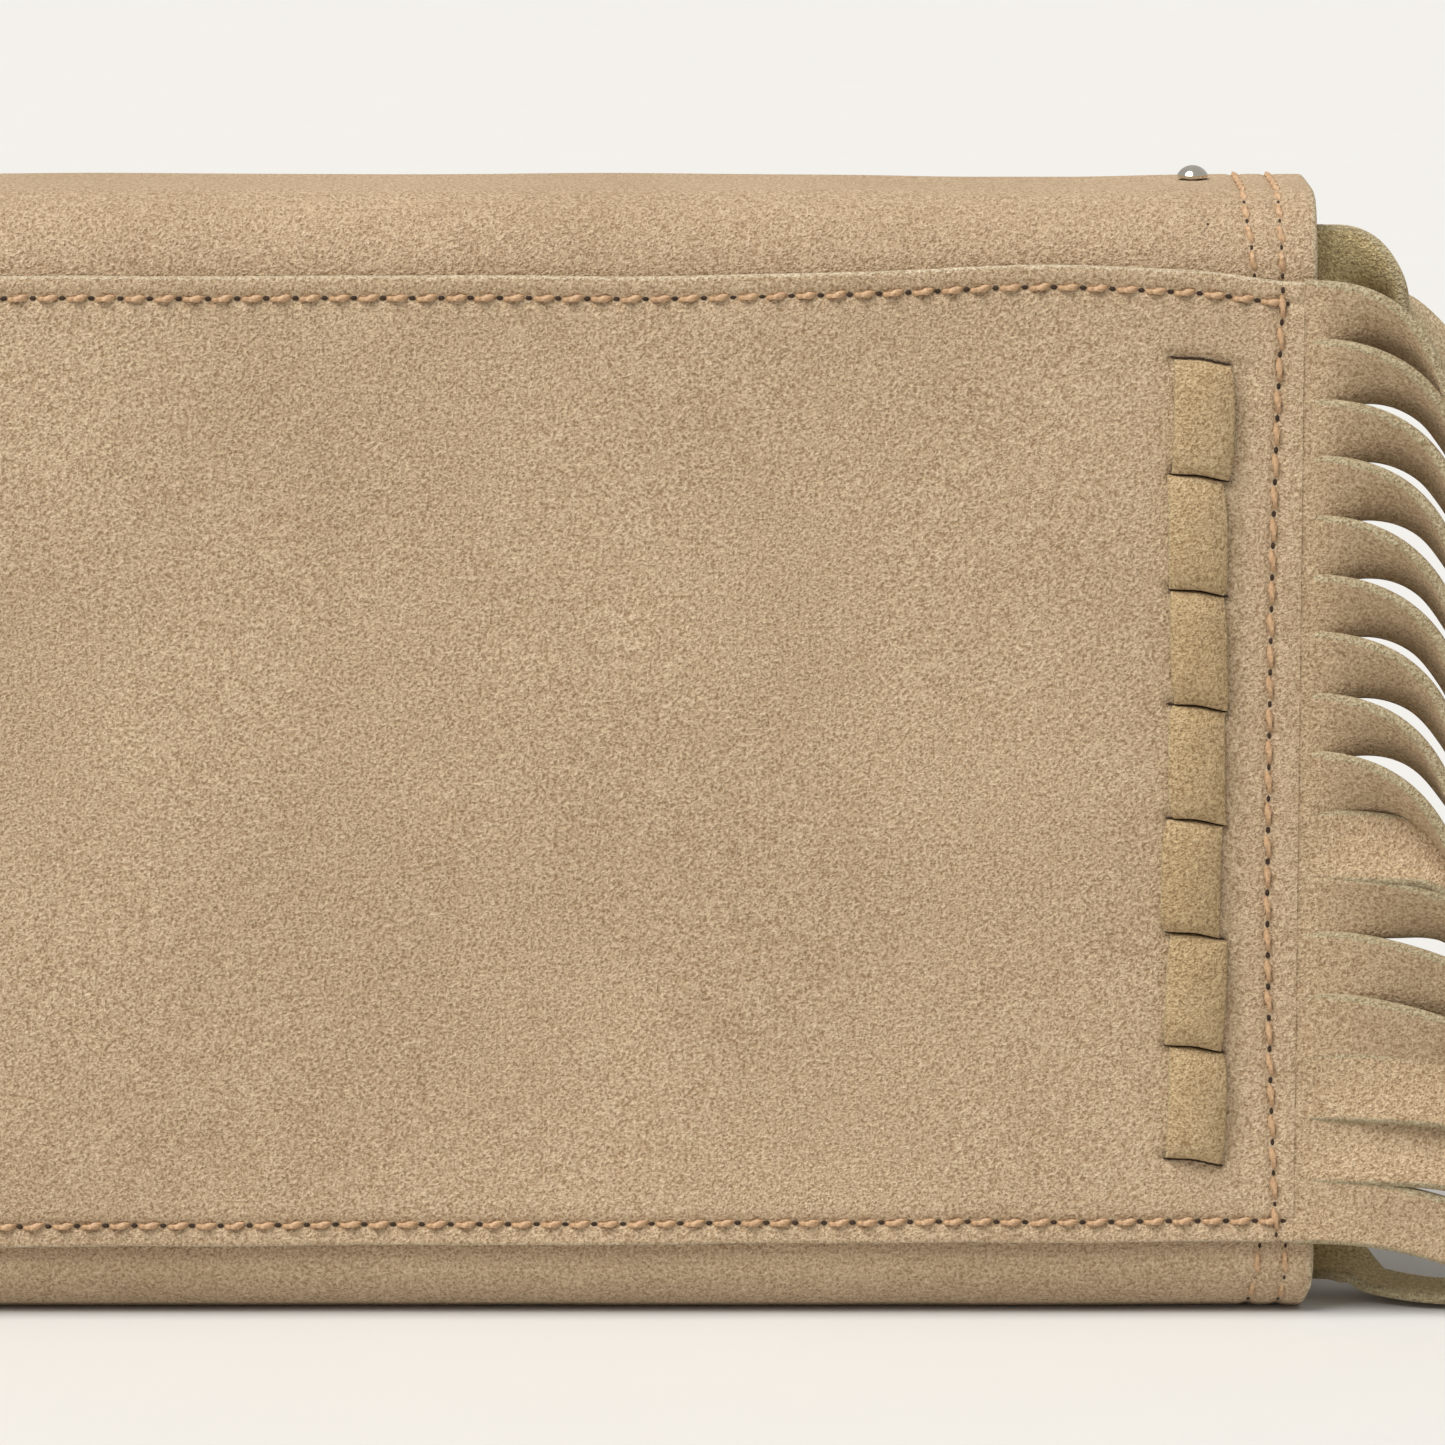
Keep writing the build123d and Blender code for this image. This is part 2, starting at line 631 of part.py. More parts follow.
def strip_twist(index, x):
    """Give a strip's turn about its length, in degrees, x past the panel's end."""
    slow = smooth((index - SLOW_FROM) / SLOW_OVER)
    power = TURN_POWER + (1 - TURN_POWER) * slow
    return 90 * smooth(x / (TURN_LENGTH + TURN_LONGER * slow)) ** power


def strip_heights(index, below):
    """Give a strip's middle height at each fine station, resting on the strip below where it must."""
    root = PANEL_TOP - STRIP_PITCH * (index + 0.5)
    low = smooth((index - LIE_FROM) / LIE_OVER)
    heights = []
    for station in range(int(STRIP_LENGTH / FINE) + 1):
        x = station * FINE
        hung = HANG_CURVE * min(x, HANG_CURVE_END) ** 3 + HANG_SLOPE * max(x - HANG_CURVE_END, 0)
        laid = (root - FLOOR_REST) * smooth(x / LIE_LENGTH)
        free = root - hung * (1 - low) - laid * low
        turn = math.radians(strip_twist(index, x))
        band = STRIP_WIDTH * math.cos(turn) + STRIP_THICKNESS * math.sin(turn)
        rest = FLOOR_REST + (band - STRIP_THICKNESS) / 2
        if below:
            ahead = below[min(station + REACH, len(below) - 1)]
            behind = below[max(station - REACH, 0)]
            steep = min(math.hypot(1, (behind - ahead) / (2 * REACH * FINE)), STEEPEST)
            rest = below[station] + min(band * steep + LAYER_GAP, STRIP_PITCH + LAYER_SPREAD * x)
        soft = min(SOFTEN_SLOPE * x, SOFTEN_MOST)
        gap = free - rest
        heights.append(rest + (gap + math.hypot(gap, soft)) / 2)
    return heights


below = None
for index in reversed(range(STRIPS)):
    below = strip_heights(index, below)
    route = [Vector(ROOT_X + k * FINE, STRIP_Y, z) for k, z in enumerate(below)]
    points = even_points(route, STRIP_LENGTH, STRIP_STEPS)
    twists = [strip_twist(index, point.X - ROOT_X) for point in points]
    with BuildPart() as fringe_strip:
        ribbon(points, twists, STRIP_WIDTH, STRIP_THICKNESS)
    hand_over(fringe_strip, f"fringe_strip_{index + 1:02d}")


def strap_anchor(middle):
    """Draw a strap end that is turned over and sewn flat against the gusset's web."""
    low = middle - STRAP_WIDTH / 2
    block((WEB_FACE, -LEATHER / 2, low), (HALF, TAB_LENGTH, low + STRAP_WIDTH))


with BuildPart() as strap_anchor_top:
    strap_anchor(STRAP_TOP_Z)
hand_over(strap_anchor_top, "strap_anchor_top")

with BuildPart() as strap_anchor_bottom:
    strap_anchor(STRAP_BOTTOM_Z)
hand_over(strap_anchor_bottom, "strap_anchor_bottom")

# Each point: distance past the start, depth, height as a share of the upper end's, turn
STRAP_FALL = [
    (0, 0, 1.0, 0),
    (1.3, 0, 1.0, 0),
    (4.3, 0, 0.998, 14),
    (7.9, 0.2, 0.976, 55),
    (10.9, 0.8, 0.936, 85),
    (15.4, 1.8, 0.856, 90),
    (22.9, 3.2, 0.724, 90),
    (31.9, 4.4, 0.565, 90),
    (41.4, 5.2, 0.397, 90),
    (49.9, 5.6, 0.238, 90),
    (54.9, 5.6, 0.124, 90),
]
# Each point: distance past the start, depth, height, turn
STRAP_RETURN = [
    (54.4, 5.2, 6.0, 90),
    (48.9, 4.0, 1.8, 90),
    (38.9, 1.2, 1.0, 90),
    (26.9, -3.2, 1.0, 90),
    (15.9, -6.2, 1.2, 90),
    (8.9, -4.6, 2.4, 64),
    (4.3, -1.6, 4.3, 24),
    (1.3, -0.1, STRAP_BOTTOM_Z, 0),
    (0, 0, STRAP_BOTTOM_Z, 0),
]
strap_route = [(x, y, share * STRAP_TOP_Z, turn) for x, y, share, turn in STRAP_FALL] + STRAP_RETURN
with BuildPart() as wrist_strap:
    strap_points = [Vector(STRAP_START + x, y, z) for x, y, z, turn in strap_route]
    strap_twists = [turn for x, y, z, turn in strap_route]
    ribbon(strap_points, strap_twists, STRAP_WIDTH, LEATHER, finish=Vector(-1, 0, 0))
hand_over(wrist_strap, "wrist_strap")
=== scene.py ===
# %% [markdown]
# # A suede wristlet wallet
# The wallet is one folded sheet of suede with a sewn-on back panel, and the panel's end is cut into a
# fringe. Its exact sizes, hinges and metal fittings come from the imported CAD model, which this lesson loads
# as a fixed frame. The lesson adds what CAD leaves plain: soft leather with raw edges, seams, lacing and
# nap.

import bpy
import numpy as np
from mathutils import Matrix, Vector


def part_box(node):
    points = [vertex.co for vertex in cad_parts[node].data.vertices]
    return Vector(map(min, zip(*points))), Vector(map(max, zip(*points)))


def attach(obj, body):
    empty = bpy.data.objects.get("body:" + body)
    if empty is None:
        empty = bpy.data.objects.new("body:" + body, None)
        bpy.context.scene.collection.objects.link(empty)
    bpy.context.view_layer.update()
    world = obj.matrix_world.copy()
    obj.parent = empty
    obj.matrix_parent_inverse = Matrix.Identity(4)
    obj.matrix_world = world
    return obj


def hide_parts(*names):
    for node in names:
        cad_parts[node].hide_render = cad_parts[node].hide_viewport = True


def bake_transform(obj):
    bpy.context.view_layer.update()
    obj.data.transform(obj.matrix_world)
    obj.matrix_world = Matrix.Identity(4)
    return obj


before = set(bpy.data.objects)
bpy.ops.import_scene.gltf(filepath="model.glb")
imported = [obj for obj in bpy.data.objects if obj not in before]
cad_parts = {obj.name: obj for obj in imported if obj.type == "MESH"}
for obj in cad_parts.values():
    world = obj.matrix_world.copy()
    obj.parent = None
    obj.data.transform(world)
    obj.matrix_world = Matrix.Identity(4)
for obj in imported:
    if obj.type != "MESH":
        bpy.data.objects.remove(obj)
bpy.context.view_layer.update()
MM = 0.001

# %% [markdown]
# ## Sizes
# Lengths here are in millimetres, and they are read off the CAD boxes wherever a box can tell them. Only
# what a box can't tell, such as how thick a sheet is or how tightly it folds, is written as a value of its
# own.


# %% Sizes read from the frame
def millimetres(node):
    """The lowest and highest corner of a CAD node, in millimetres."""
    low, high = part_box(node)
    return np.array(low) / MM, np.array(high) / MM


wrap_low, wrap_high = millimetres("outer_wrap")
panel_low, panel_high = millimetres("back_panel")
flap_low, flap_high = millimetres("flap_outer")
lace_low, lace_high = millimetres("back_lacing")
front_lace_low, front_lace_high = millimetres("front_lacing")
gusset_low, gusset_high = millimetres("gusset_fringe_end")
anchor_low, anchor_high = millimetres("strap_anchor_top")
foot_low, foot_high = millimetres("strap_anchor_bottom")
strap_low = millimetres("wrist_strap")[0]

HALF = wrap_high[0]
BACK, FRONT = wrap_low[1], wrap_high[1]
PANEL_FACE, PANEL_TOP, PANEL_BOTTOM = panel_low[1], panel_high[2], panel_low[2]
PANEL_SHEET = BACK - PANEL_FACE
FLAP_FACE, CREST, FLAP_BOTTOM = flap_high[1], flap_high[2], flap_low[2]
LACE_X = (lace_low[0] + lace_high[0]) / 2
LACE_WIDTH = lace_high[0] - lace_low[0]
LEATHER = 1.3
BOTTOM_RADIUS = 6.5
FOLD_RADIUS = 8.7
STRIPS = 16
print("wallet", 2 * HALF, "wide,", CREST, "high, panel", PANEL_SHEET, "thick")

# %% [markdown]
# ## Small helpers for arrays
# A shape in this lesson is a grid of points worked out all at once with numpy. These helpers ease, bump and
# space numbers along such grids. Sine waves stand for the unevenness of hand cutting, so nothing is random.


# %% Array helpers
def unit(vectors):
    """Each vector divided by its own length."""
    return vectors / np.maximum(np.linalg.norm(vectors, axis=-1, keepdims=True), 1e-9)


def smooth(value):
    """0 below 0, 1 above 1, and 3v² - 2v³ between, so that it leaves and arrives level."""
    value = np.clip(value, 0, 1)
    return value * value * (3 - 2 * value)


def bell(distance, width):
    """exp(-(distance / width)²): 1 in the middle, falling to nothing on both sides."""
    return np.exp(-((distance / width) ** 2))


def ripple(a, b, size, shift=0.0):
    """The mean of three sine waves that cross, between -1 and 1, with crests about size apart."""
    turn = 2 * np.pi / size
    first = np.sin(turn * a + 1.3 * np.sin(0.61 * turn * b + shift) + shift)
    second = np.sin(turn * (0.54 * a + 0.83 * b) + 2.1 * shift + 1.0)
    third = np.sin(turn * (0.47 * b - 0.92 * a) * 1.37 + 3.7 * shift)
    return (first + second + third) / 3


def spaced(start, end, step, *fine):
    """Values from start to end, a step apart, closer at both ends and round each fine place."""
    count = max(int(round(abs(end - start) / step)), 1)
    near = np.array([0.3, 0.9])
    around = np.array([-1.6, -1.0, -0.6, -0.3, 0.0, 0.3, 0.6, 1.0, 1.6])
    low, high = min(start, end), max(start, end)
    extra = [place + around for place in fine]
    every = np.concatenate([np.linspace(low, high, count + 1), low + near, high - near, *extra])
    every = np.unique(np.round(every[(every >= low) & (every <= high)], 4))
    keep = np.concatenate([[True], np.diff(every) > 0.12])
    every = every[keep]
    every[-1] = high
    return every if end > start else every[::-1]


def along(path, marks, values=None):
    """The points of a path, or values that go with its points, at given distances from its start."""
    walked = np.concatenate([[0], np.cumsum(np.linalg.norm(np.diff(path, axis=0), axis=1))])
    values = path if values is None else values
    return np.stack([np.interp(marks, walked, column) for column in values.T], axis=1)


def path_length(path):
    """The sum of the distances between a path's points."""
    return np.linalg.norm(np.diff(path, axis=0), axis=1).sum()


def arc(centre, radius, first, last, count=40):
    """Points round part of a circle, between two angles in degrees."""
    angle = np.radians(np.linspace(first, last, count))
    return np.stack([centre[0] + radius * np.cos(angle), centre[1] + radius * np.sin(angle)], axis=1)


print("ripple of 0, 0 is", round(float(ripple(0.0, 0.0, 10.0)), 3))

# %% [markdown]
# ## One function for every piece of leather
# Real leather is a sheet with a napped face, a flesh side and a raw cut edge between them. A Solidify
# modifier would give it a square edge. Here the face is a grid, its inner side is the same grid moved back
# along its normals, and a half ellipse of points rolls from one to the other round the border. Two numbers
# stay on the points, so that a finish can tell the raw edge and the flesh side from the face.

# %% Sheets with rolled edges
RIM_STEPS = 6
RAW_BORDER = 0.35
SHARP_ANGLE = 55


def leather_sheet(face, thickness=None, inner=None, bulge=1.0, rounded=(1, 1, 1, 1)):
    """A closed sheet under a face grid of shape (rows, columns, 3), whose normals are rows cross columns.

    The inner side is face - normal * thickness, or a grid of its own. The rim between them is
    middle + half * cos(a) + outward * bulge * |half| * sin(a), with half = (face - inner)/2, a from 0 to 180.
    rounded says whether the first row, last column, last row and first column bulge or are cut square. The
    raw edge's look is 1 on the rim and RAW_BORDER on the border of the face beside it.
    """
    rows, columns = face.shape[:2]
    count = rows * columns
    if inner is None:
        normal = unit(np.cross(np.gradient(face, axis=0), np.gradient(face, axis=1)))
        inner = face - normal * np.broadcast_to(thickness, (rows, columns))[..., None]
    outward = np.zeros_like(face)
    outward[0] += rounded[0] * unit(face[0] - face[1])
    outward[:, -1] += rounded[1] * unit(face[:, -1] - face[:, -2])
    outward[-1] += rounded[2] * unit(face[-1] - face[-2])
    outward[:, 0] += rounded[3] * unit(face[:, 0] - face[:, 1])
    outward /= np.maximum(np.linalg.norm(outward, axis=-1, keepdims=True), 1)

    grid = np.arange(count).reshape(rows, columns)
    border = np.concatenate([grid[0, :-1], grid[:-1, -1], grid[-1, :0:-1], grid[:0:-1, 0]])
    turn = np.linspace(0, np.pi, RIM_STEPS + 1)[1:-1, None, None]
    half = ((face - inner) / 2).reshape(-1, 3)[border]
    out = outward.reshape(-1, 3)[border] * np.linalg.norm(half, axis=1, keepdims=True)
    middle = face.reshape(-1, 3)[border] - half
    rim = middle + half * np.cos(turn) + out * bulge * np.sin(turn)

    rings = 2 * count + np.arange((RIM_STEPS - 1) * len(border)).reshape(RIM_STEPS - 1, -1)
    rings = np.vstack([border, rings, count + border])
    ahead = np.roll(rings, -1, axis=1)
    front = np.stack([grid[:-1, :-1], grid[1:, :-1], grid[1:, 1:], grid[:-1, 1:]], axis=-1).reshape(-1, 4)
    rim_faces = np.stack([rings[:-1], ahead[:-1], ahead[1:], rings[1:]], axis=-1).reshape(-1, 4)
    share = np.repeat(turn.ravel() / np.pi, len(border))
    edge = RAW_BORDER * np.clip(np.linalg.norm(outward, axis=-1).ravel(), 0, 1)
    return {
        "points": np.concatenate([face.reshape(-1, 3), inner.reshape(-1, 3), rim.reshape(-1, 3)]),
        "faces": np.concatenate([front, count + front[:, ::-1], rim_faces]),
        "edge": np.concatenate([edge, edge, np.ones(rim.shape[0] * rim.shape[1])]),
        "flesh": np.concatenate([np.zeros(count), np.ones(count), share]),
    }


def joined(parts):
    """Several shapes as one, with each one's faces counted on from the one before."""
    starts = np.cumsum([0] + [len(part["points"]) for part in parts[:-1]])
    whole = {key: np.concatenate([part[key] for part in parts]) for key in parts[0] if key != "faces"}
    whole["faces"] = np.concatenate([part["faces"] + start for part, start in zip(parts, starts)])
    return whole


def make(name, shape, material):
    """A mesh object from a shape in millimetres, smooth but for sharp edges, with its numbers and finish."""
    mesh = bpy.data.meshes.new(name)
    mesh.from_pydata((shape["points"] * MM).tolist(), [], shape["faces"].tolist())
    mesh.polygons.foreach_set("use_smooth", np.ones(len(mesh.polygons), bool))
    mesh.set_sharp_from_angle(angle=np.radians(SHARP_ANGLE))
    for key in ("edge", "flesh"):
        if key in shape:
            attribute = mesh.attributes.new(key, "FLOAT", "POINT")
            attribute.data.foreach_set("value", shape[key].astype(np.float32))
    mesh.materials.append(material)
    piece = bpy.data.objects.new(name, mesh)
    bpy.context.scene.collection.objects.link(piece)
    print(name, len(mesh.vertices), "points,", len(mesh.polygons), "faces")
    return piece


# %% [markdown]
# ## Colours and nodes
# A screen colour is written as the usual hex value, and Blender's shaders want it linear. One function turns
# it, and one function adds a node with its settings and links. Each finish is then a recipe that ends in the
# same kind of shader.


# %% Helpers for finishes
def colour(text):
    """A hex screen colour as linear red, green and blue: c/12.92 when dark, else ((c + 0.055)/1.055)^2.4."""
    value = np.array([int(text[k : k + 2], 16) for k in (1, 3, 5)]) / 255
    linear = np.where(value <= 0.04045, value / 12.92, ((value + 0.055) / 1.055) ** 2.4)
    return (*linear.tolist(), 1.0)


def add(tree, kind, settings=None):
    """Add a node with its settings. A key is an input's name or number, or the name of a property.

    A value that is another node's socket is linked, and a hex value is turned to a linear colour.
    """
    node = tree.nodes.new(kind)
    for key, value in (settings or {}).items():
        if isinstance(value, bpy.types.NodeSocket):
            tree.links.new(value, node.inputs[key])
        elif isinstance(key, int) or key in node.inputs:
            node.inputs[key].default_value = colour(value) if str(value).startswith("#") else value
        else:
            setattr(node, key, value)
    return node


def per_mm(size):
    """The scale of a pattern whose features are size millimetres across, on coordinates in metres."""
    return 1 / (size * MM)


def blank(name):
    """A material with an empty node tree, and the tree's object coordinates."""
    material = bpy.data.materials.new(name)
    material.use_nodes = True
    tree = material.node_tree
    tree.nodes.clear()
    return material, tree, add(tree, "ShaderNodeTexCoord").outputs["Object"]


def layer(tree, under, over, value, start, full, share=1.0, blend="MIX"):
    """A colour laid over another. It covers share * (value - start) / (full - start), from 0 up to share."""
    cover = {"Value": value, "From Min": start, "From Max": full, "To Max": share}
    cover = add(tree, "ShaderNodeMapRange", cover).outputs[0]
    mix = {"data_type": "RGBA", "blend_type": blend, 0: cover, 6: under, 7: over}
    return add(tree, "ShaderNodeMix", mix).outputs[2]


def surface(tree, tone, height, strength, depth, settings):
    """The end of a recipe: a Principled shader with a colour, a bump of depth millimetres, and settings."""
    bump = {"Strength": strength, "Distance": depth * MM, "Height": height}
    settings = {"Base Color": tone, "Normal": add(tree, "ShaderNodeBump", bump).outputs[0], **settings}
    shader = add(tree, "ShaderNodeBsdfPrincipled", settings)
    add(tree, "ShaderNodeOutputMaterial", {"Surface": shader.outputs[0]})


print("a mid grey is", round(colour("#808080")[0], 3))

# %% [markdown]
# ## Suede
# Suede is the flesh split of a hide, ground with grit paper until short fibres stand up. It has no gloss.
# Light scatters in the nap, so it brightens towards the outline, which is what sheen does. Three kinds of
# pattern show: clouds some 3 cm across where the nap was stroked, blotches of 7 mm, and the nap itself.
# Single fibres are a few hundredths of a millimetre, too fine to show, so the nap is drawn at two coarser
# sizes, 0.24 mm for its fibres and 0.42 mm for the tufts that they form.


# %% The suede finish
CLOUD, BLOTCH, FIBRE, TUFT = 34, 7.0, 0.24, 0.42
NAP_SHADOW = "#b1a292"
NAP_DEPTH = 0.22


def suede(name, face, dark, light, raw, flesh, sheen=0.25):
    """Suede from five hex colours: the face, its dark and light stroking, its raw edge and its flesh side."""
    material, tree, place = blank(name)
    patterns = []
    for size, detail, rough in ((CLOUD, 2.0, 0.5), (BLOTCH, 3.0, 0.6), (FIBRE, 2.0, 0.6), (TUFT, 2.0, 0.6)):
        settings = {"Vector": place, "Scale": per_mm(size), "Detail": detail, "Roughness": rough}
        patterns.append(add(tree, "ShaderNodeTexNoise", settings).outputs[0])
    cloud, blotch, *nap = patterns
    ragged = {"Value": nap[1], "From Min": 0.3, "From Max": 0.7, "To Min": -0.3, "To Max": 0.3}
    ragged = add(tree, "ShaderNodeMapRange", ragged).outputs[0]
    marks = []
    for key in ("flesh", "edge"):
        mark = add(tree, "ShaderNodeAttribute", {"attribute_name": key}).outputs["Fac"]
        marks.append(add(tree, "ShaderNodeMath", {"operation": "ADD", 0: mark, 1: ragged}).outputs[0])
    levels = [{"Value": pattern, "From Min": 0.25, "From Max": 0.75} for pattern in nap]
    fibres, tufts = (add(tree, "ShaderNodeMapRange", level).outputs[0] for level in levels)
    grain = add(tree, "ShaderNodeMath", {"operation": "ADD", 0: fibres, 1: tufts}).outputs[0]
    tone = layer(tree, dark, face, cloud, 0.36, 0.66)
    tone = layer(tree, tone, light, blotch, 0.45, 0.8, 0.3)
    tone = layer(tree, tone, flesh, marks[0], 0.62, 0.95)
    tone = layer(tree, tone, raw, marks[1], 0.35, 0.85)
    tone = layer(tree, tone, NAP_SHADOW, grain, 1.5, 0.5, blend="MULTIPLY")
    soft = {"Roughness": 0.94, "Specular IOR Level": 0.12, "Sheen Weight": sheen}
    soft |= {"Sheen Roughness": 0.55, "Sheen Tint": light}
    surface(tree, tone, grain, 1.0, NAP_DEPTH, soft)
    return material


suede_panel = suede("suede_panel_sand", "#ecd3b1", "#e1c8a7", "#f3debe", "#ebddc0", "#cbba90")
suede_body = suede("suede_body_sand", "#e1c8a8", "#d6bd9d", "#e8d2b2", "#e3d2b3", "#cbba90", 0.4)
suede_fringe = suede("suede_fringe_sand", "#e9cfac", "#dec4a0", "#f0dab8", "#cdc09f", "#cbba90")
suede_lace = suede("suede_lace_olive", "#e2c9a0", "#d7bd92", "#ecd6ae", "#cdbf9a", "#cbba90")
# The strap is the same leather, but its colours, its flesh side most, are painted lighter: painted light that
# lifts the shade it hangs in.
suede_strap = suede("suede_strap_painted_light", "#f1ddb8", "#e8d3ac", "#f6e5c4", "#cfc29d", "#efdda9", 0.35)
suede_gusset = suede("suede_gusset_olive", "#d8c39c", "#ccb68e", "#e2cea9", "#c6b798", "#cbba90")
print("made", len(bpy.data.materials), "finishes so far")

# %% [markdown]
# ## Thread
# The seams are sewn with a bonded polyester cord of two plies, a warm tan. It is smooth, so it has a little
# gloss. The needle left a hole at each end of a stitch, and the shade inside it is painted as a dark lens.


# %% Thread, and the painted shade of holes
def plain(name, tint, shadow, size, roughness, metallic=0.0, strength=0.2):
    """A finish with one grain: two hex colours mixed by noise of a size in millimetres, and a fine bump."""
    material, tree, place = blank(name)
    grain = {"Vector": place, "Scale": per_mm(size), "Detail": 3.0, "Roughness": 0.6}
    grain = add(tree, "ShaderNodeTexNoise", grain).outputs[0]
    tone = layer(tree, shadow, tint, grain, 0.3, 0.7)
    surface(tree, tone, grain, strength, size / 6, {"Roughness": roughness, "Metallic": metallic})
    return material


thread_finish = plain("thread_bonded_polyester_tan", "#cfab83", "#a58160", 0.3, 0.5, strength=0.4)
# Painted shade: a near-black brown that stands in for the shade inside needle holes, lacing slits and the
# pinhole.
painted_hole_shade = plain("needle_hole_shadow", "#463426", "#2b1e15", 0.4, 1.0)
print("thread and holes ready")

# %% [markdown]
# ## Body sheet
# The body is one sheet, folded up from a flat bottom into the back and front walls. Its shape is a profile
# in the YZ plane carried along X. The seams draw it in a little, and its ends are raw. A simple extrusion
# would have dead straight ends, so the ends and walls are moved by soft waves of a few tenths of a
# millimetre.

# %% Profile of the body sheet
WRAP_BACK_TOP = PANEL_TOP - 1.0
WRAP_FRONT_TOP = wrap_high[2] - 1.6
FLAT = FRONT - BOTTOM_RADIUS
wrap_profile = np.concatenate([
    [[BACK, WRAP_BACK_TOP]],
    arc((-FLAT, BOTTOM_RADIUS), BOTTOM_RADIUS, 180, 270),
    arc((FLAT, BOTTOM_RADIUS), BOTTOM_RADIUS, 270, 360),
    [[FRONT, WRAP_FRONT_TOP]],
])


def swept(profile, marks, across):
    """A profile in the YZ plane, carried along X: the face points and their outward normals."""
    points = along(profile, marks)
    slope = unit(along(profile, marks + 0.05) - along(profile, marks - 0.05))
    x, y = np.meshgrid(across, points[:, 0])
    z = np.broadcast_to(points[:, 1:], x.shape)
    normal = np.stack([np.zeros_like(slope[:, 0]), slope[:, 1], -slope[:, 0]], axis=1)
    return np.stack([x, y, z], axis=-1), np.broadcast_to(normal[:, None, :], (*x.shape, 3))


def row_x(height, outer):
    """How far along X an end seam runs at a height, the outer row or the inner one.

    Above the panel the rows lean in towards the crest, by 0.3 and 0.95, and the inner one leans in by 0.7 at
    the bottom fold.
    """
    lean = smooth((height - PANEL_TOP) / (CREST - PANEL_TOP))
    foot = smooth(1 - height / PANEL_BOTTOM)
    low = np.where(outer, 99.2, 96.7 - 0.7 * foot)
    high = np.where(outer, 98.4 - 0.3 * lean, 95.4 - 0.95 * lean)
    return np.where(height < CREST / 2, low, high)


def drawn_in(x, z):
    """How far the end seams pull a sheet in: two bell-shaped furrows, 0.26 deep, at each end."""
    far = np.abs(x)
    return 0.26 * (bell(far - row_x(z, True), 0.55) + bell(far - row_x(z, False), 0.55))


END_START, END_REACH = 92, 9
wrap_marks = spaced(0, path_length(wrap_profile), 2.6)
WRAP_ROWS = np.array([96.2, 99.2])
wrap_across = spaced(-HALF, HALF, 4.0, *WRAP_ROWS, *-WRAP_ROWS)
wrap_face, wrap_normal = swept(wrap_profile, wrap_marks, wrap_across)
x, z = wrap_face[..., 0], wrap_face[..., 2]
pull = drawn_in(x, z) + 0.12 * ripple(x, z, 42)
wrap_face = wrap_face - wrap_normal * np.maximum(pull, 0)[..., None]
splay = 0.12 * ripple(z, x, 31) + 0.8 * smooth((34 - z) / 28) - 0.8 * smooth(1 - z / 4)
wrap_face[..., 0] += np.sign(x) * smooth((np.abs(x) - END_START) / END_REACH) * splay
wrap = make("body_sheet", leather_sheet(wrap_face, LEATHER), suede_body)
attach(wrap, "body")
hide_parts("outer_wrap")

# %% [markdown]
# ## Flap
# The flap is sewn on behind the back panel, rolls over the top and hangs down the front to rounded corners.
# It bends along the whole top when it opens, so it is one sheet; it is baked in place and not attached to
# either body. The path starts at the front hem and ends at the back, which makes the normals point outwards.

# %% Flap sheet
FLAP_CORNER = 10.0
SPRING = CREST - FOLD_RADIUS
REAR_Y = BACK + FOLD_RADIUS
FORE_Y = FLAP_FACE - FOLD_RADIUS
flap_profile = np.concatenate([
    [[FLAP_FACE, FLAP_BOTTOM]],
    arc((FORE_Y, SPRING), FOLD_RADIUS, 0, 90),
    arc((REAR_Y, SPRING), FOLD_RADIUS, 90, 180),
    [[BACK, WRAP_BACK_TOP + 0.1]],
])
corner = FLAP_CORNER * (1 - np.cos(np.radians(np.linspace(0, 90, 9))))
rest = spaced(FLAP_CORNER, path_length(flap_profile), 2.4)
flap_marks = np.concatenate([corner[:-1], rest])
FLAP_ROWS = np.array([94.9, 98.2])
flap_across = spaced(-HALF, HALF, 4.0, *FLAP_ROWS, *-FLAP_ROWS)
flap_face, flap_normal = swept(flap_profile, flap_marks, flap_across)
x, y, z = (flap_face[..., k] for k in range(3))
hem = np.clip(FLAP_CORNER - flap_marks, 0, None)
narrow = 1 - (FLAP_CORNER - np.sqrt(FLAP_CORNER**2 - hem**2)) / HALF
crest_share = smooth((z - PANEL_TOP) / (CREST - PANEL_TOP))
sag = 0.35 * crest_share * bell(x - 68, 22) + 0.1 * crest_share * (1 + ripple(x, y, 70, 0.4)) / 2
pull = np.minimum(drawn_in(x, z) + sag + 0.1 * (1 + ripple(x, z, 38, 1.0)), 0.5)
flap_face = flap_face - flap_normal * pull[..., None]
flap_face[..., 0] *= narrow[:, None]
flap_face[..., 0] += np.sign(x) * smooth((np.abs(x) - END_START) / END_REACH) * 0.1 * ripple(z, y, 27, 2.0)
flap = make("flap_sheet", leather_sheet(flap_face, LEATHER), suede_body)
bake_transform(flap)
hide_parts("flap_outer")

# %% [markdown]
# ## Back panel
# The panel is a second sheet on the back wall. Hand cutting shows in its top edge, which climbs towards the
# lacing and dips at the end. The seam pulls it down into a furrow, and so do the lacing and its slits.

# %% Edges, seams and slits of the panel
PANEL_LEFT = panel_low[0]
PANEL_END = 100.6
SEAM_DROP = 2.05
SEAM_X = PANEL_LEFT + 2.3
FURROW, FURROW_WIDTH = 0.34, 0.62
LACE_SLITS = 8
LACE_PITCH = 12.4


def top_edge(x):
    """The panel's top edge: level, with a hump of 1.1 near X 74 and a fall of 0.95 at the fringe end."""
    return PANEL_TOP - 0.15 + 1.1 * bell(x - 74, 22) - 0.95 * smooth((x - 88) / 13) + 0.12 * ripple(x, 0, 33)


def bottom_edge(x):
    """The panel's bottom edge: it climbs by 0.9 from one end to the other."""
    return PANEL_BOTTOM + 0.0045 * (x - 10) + 0.08 * ripple(x, 3, 29)


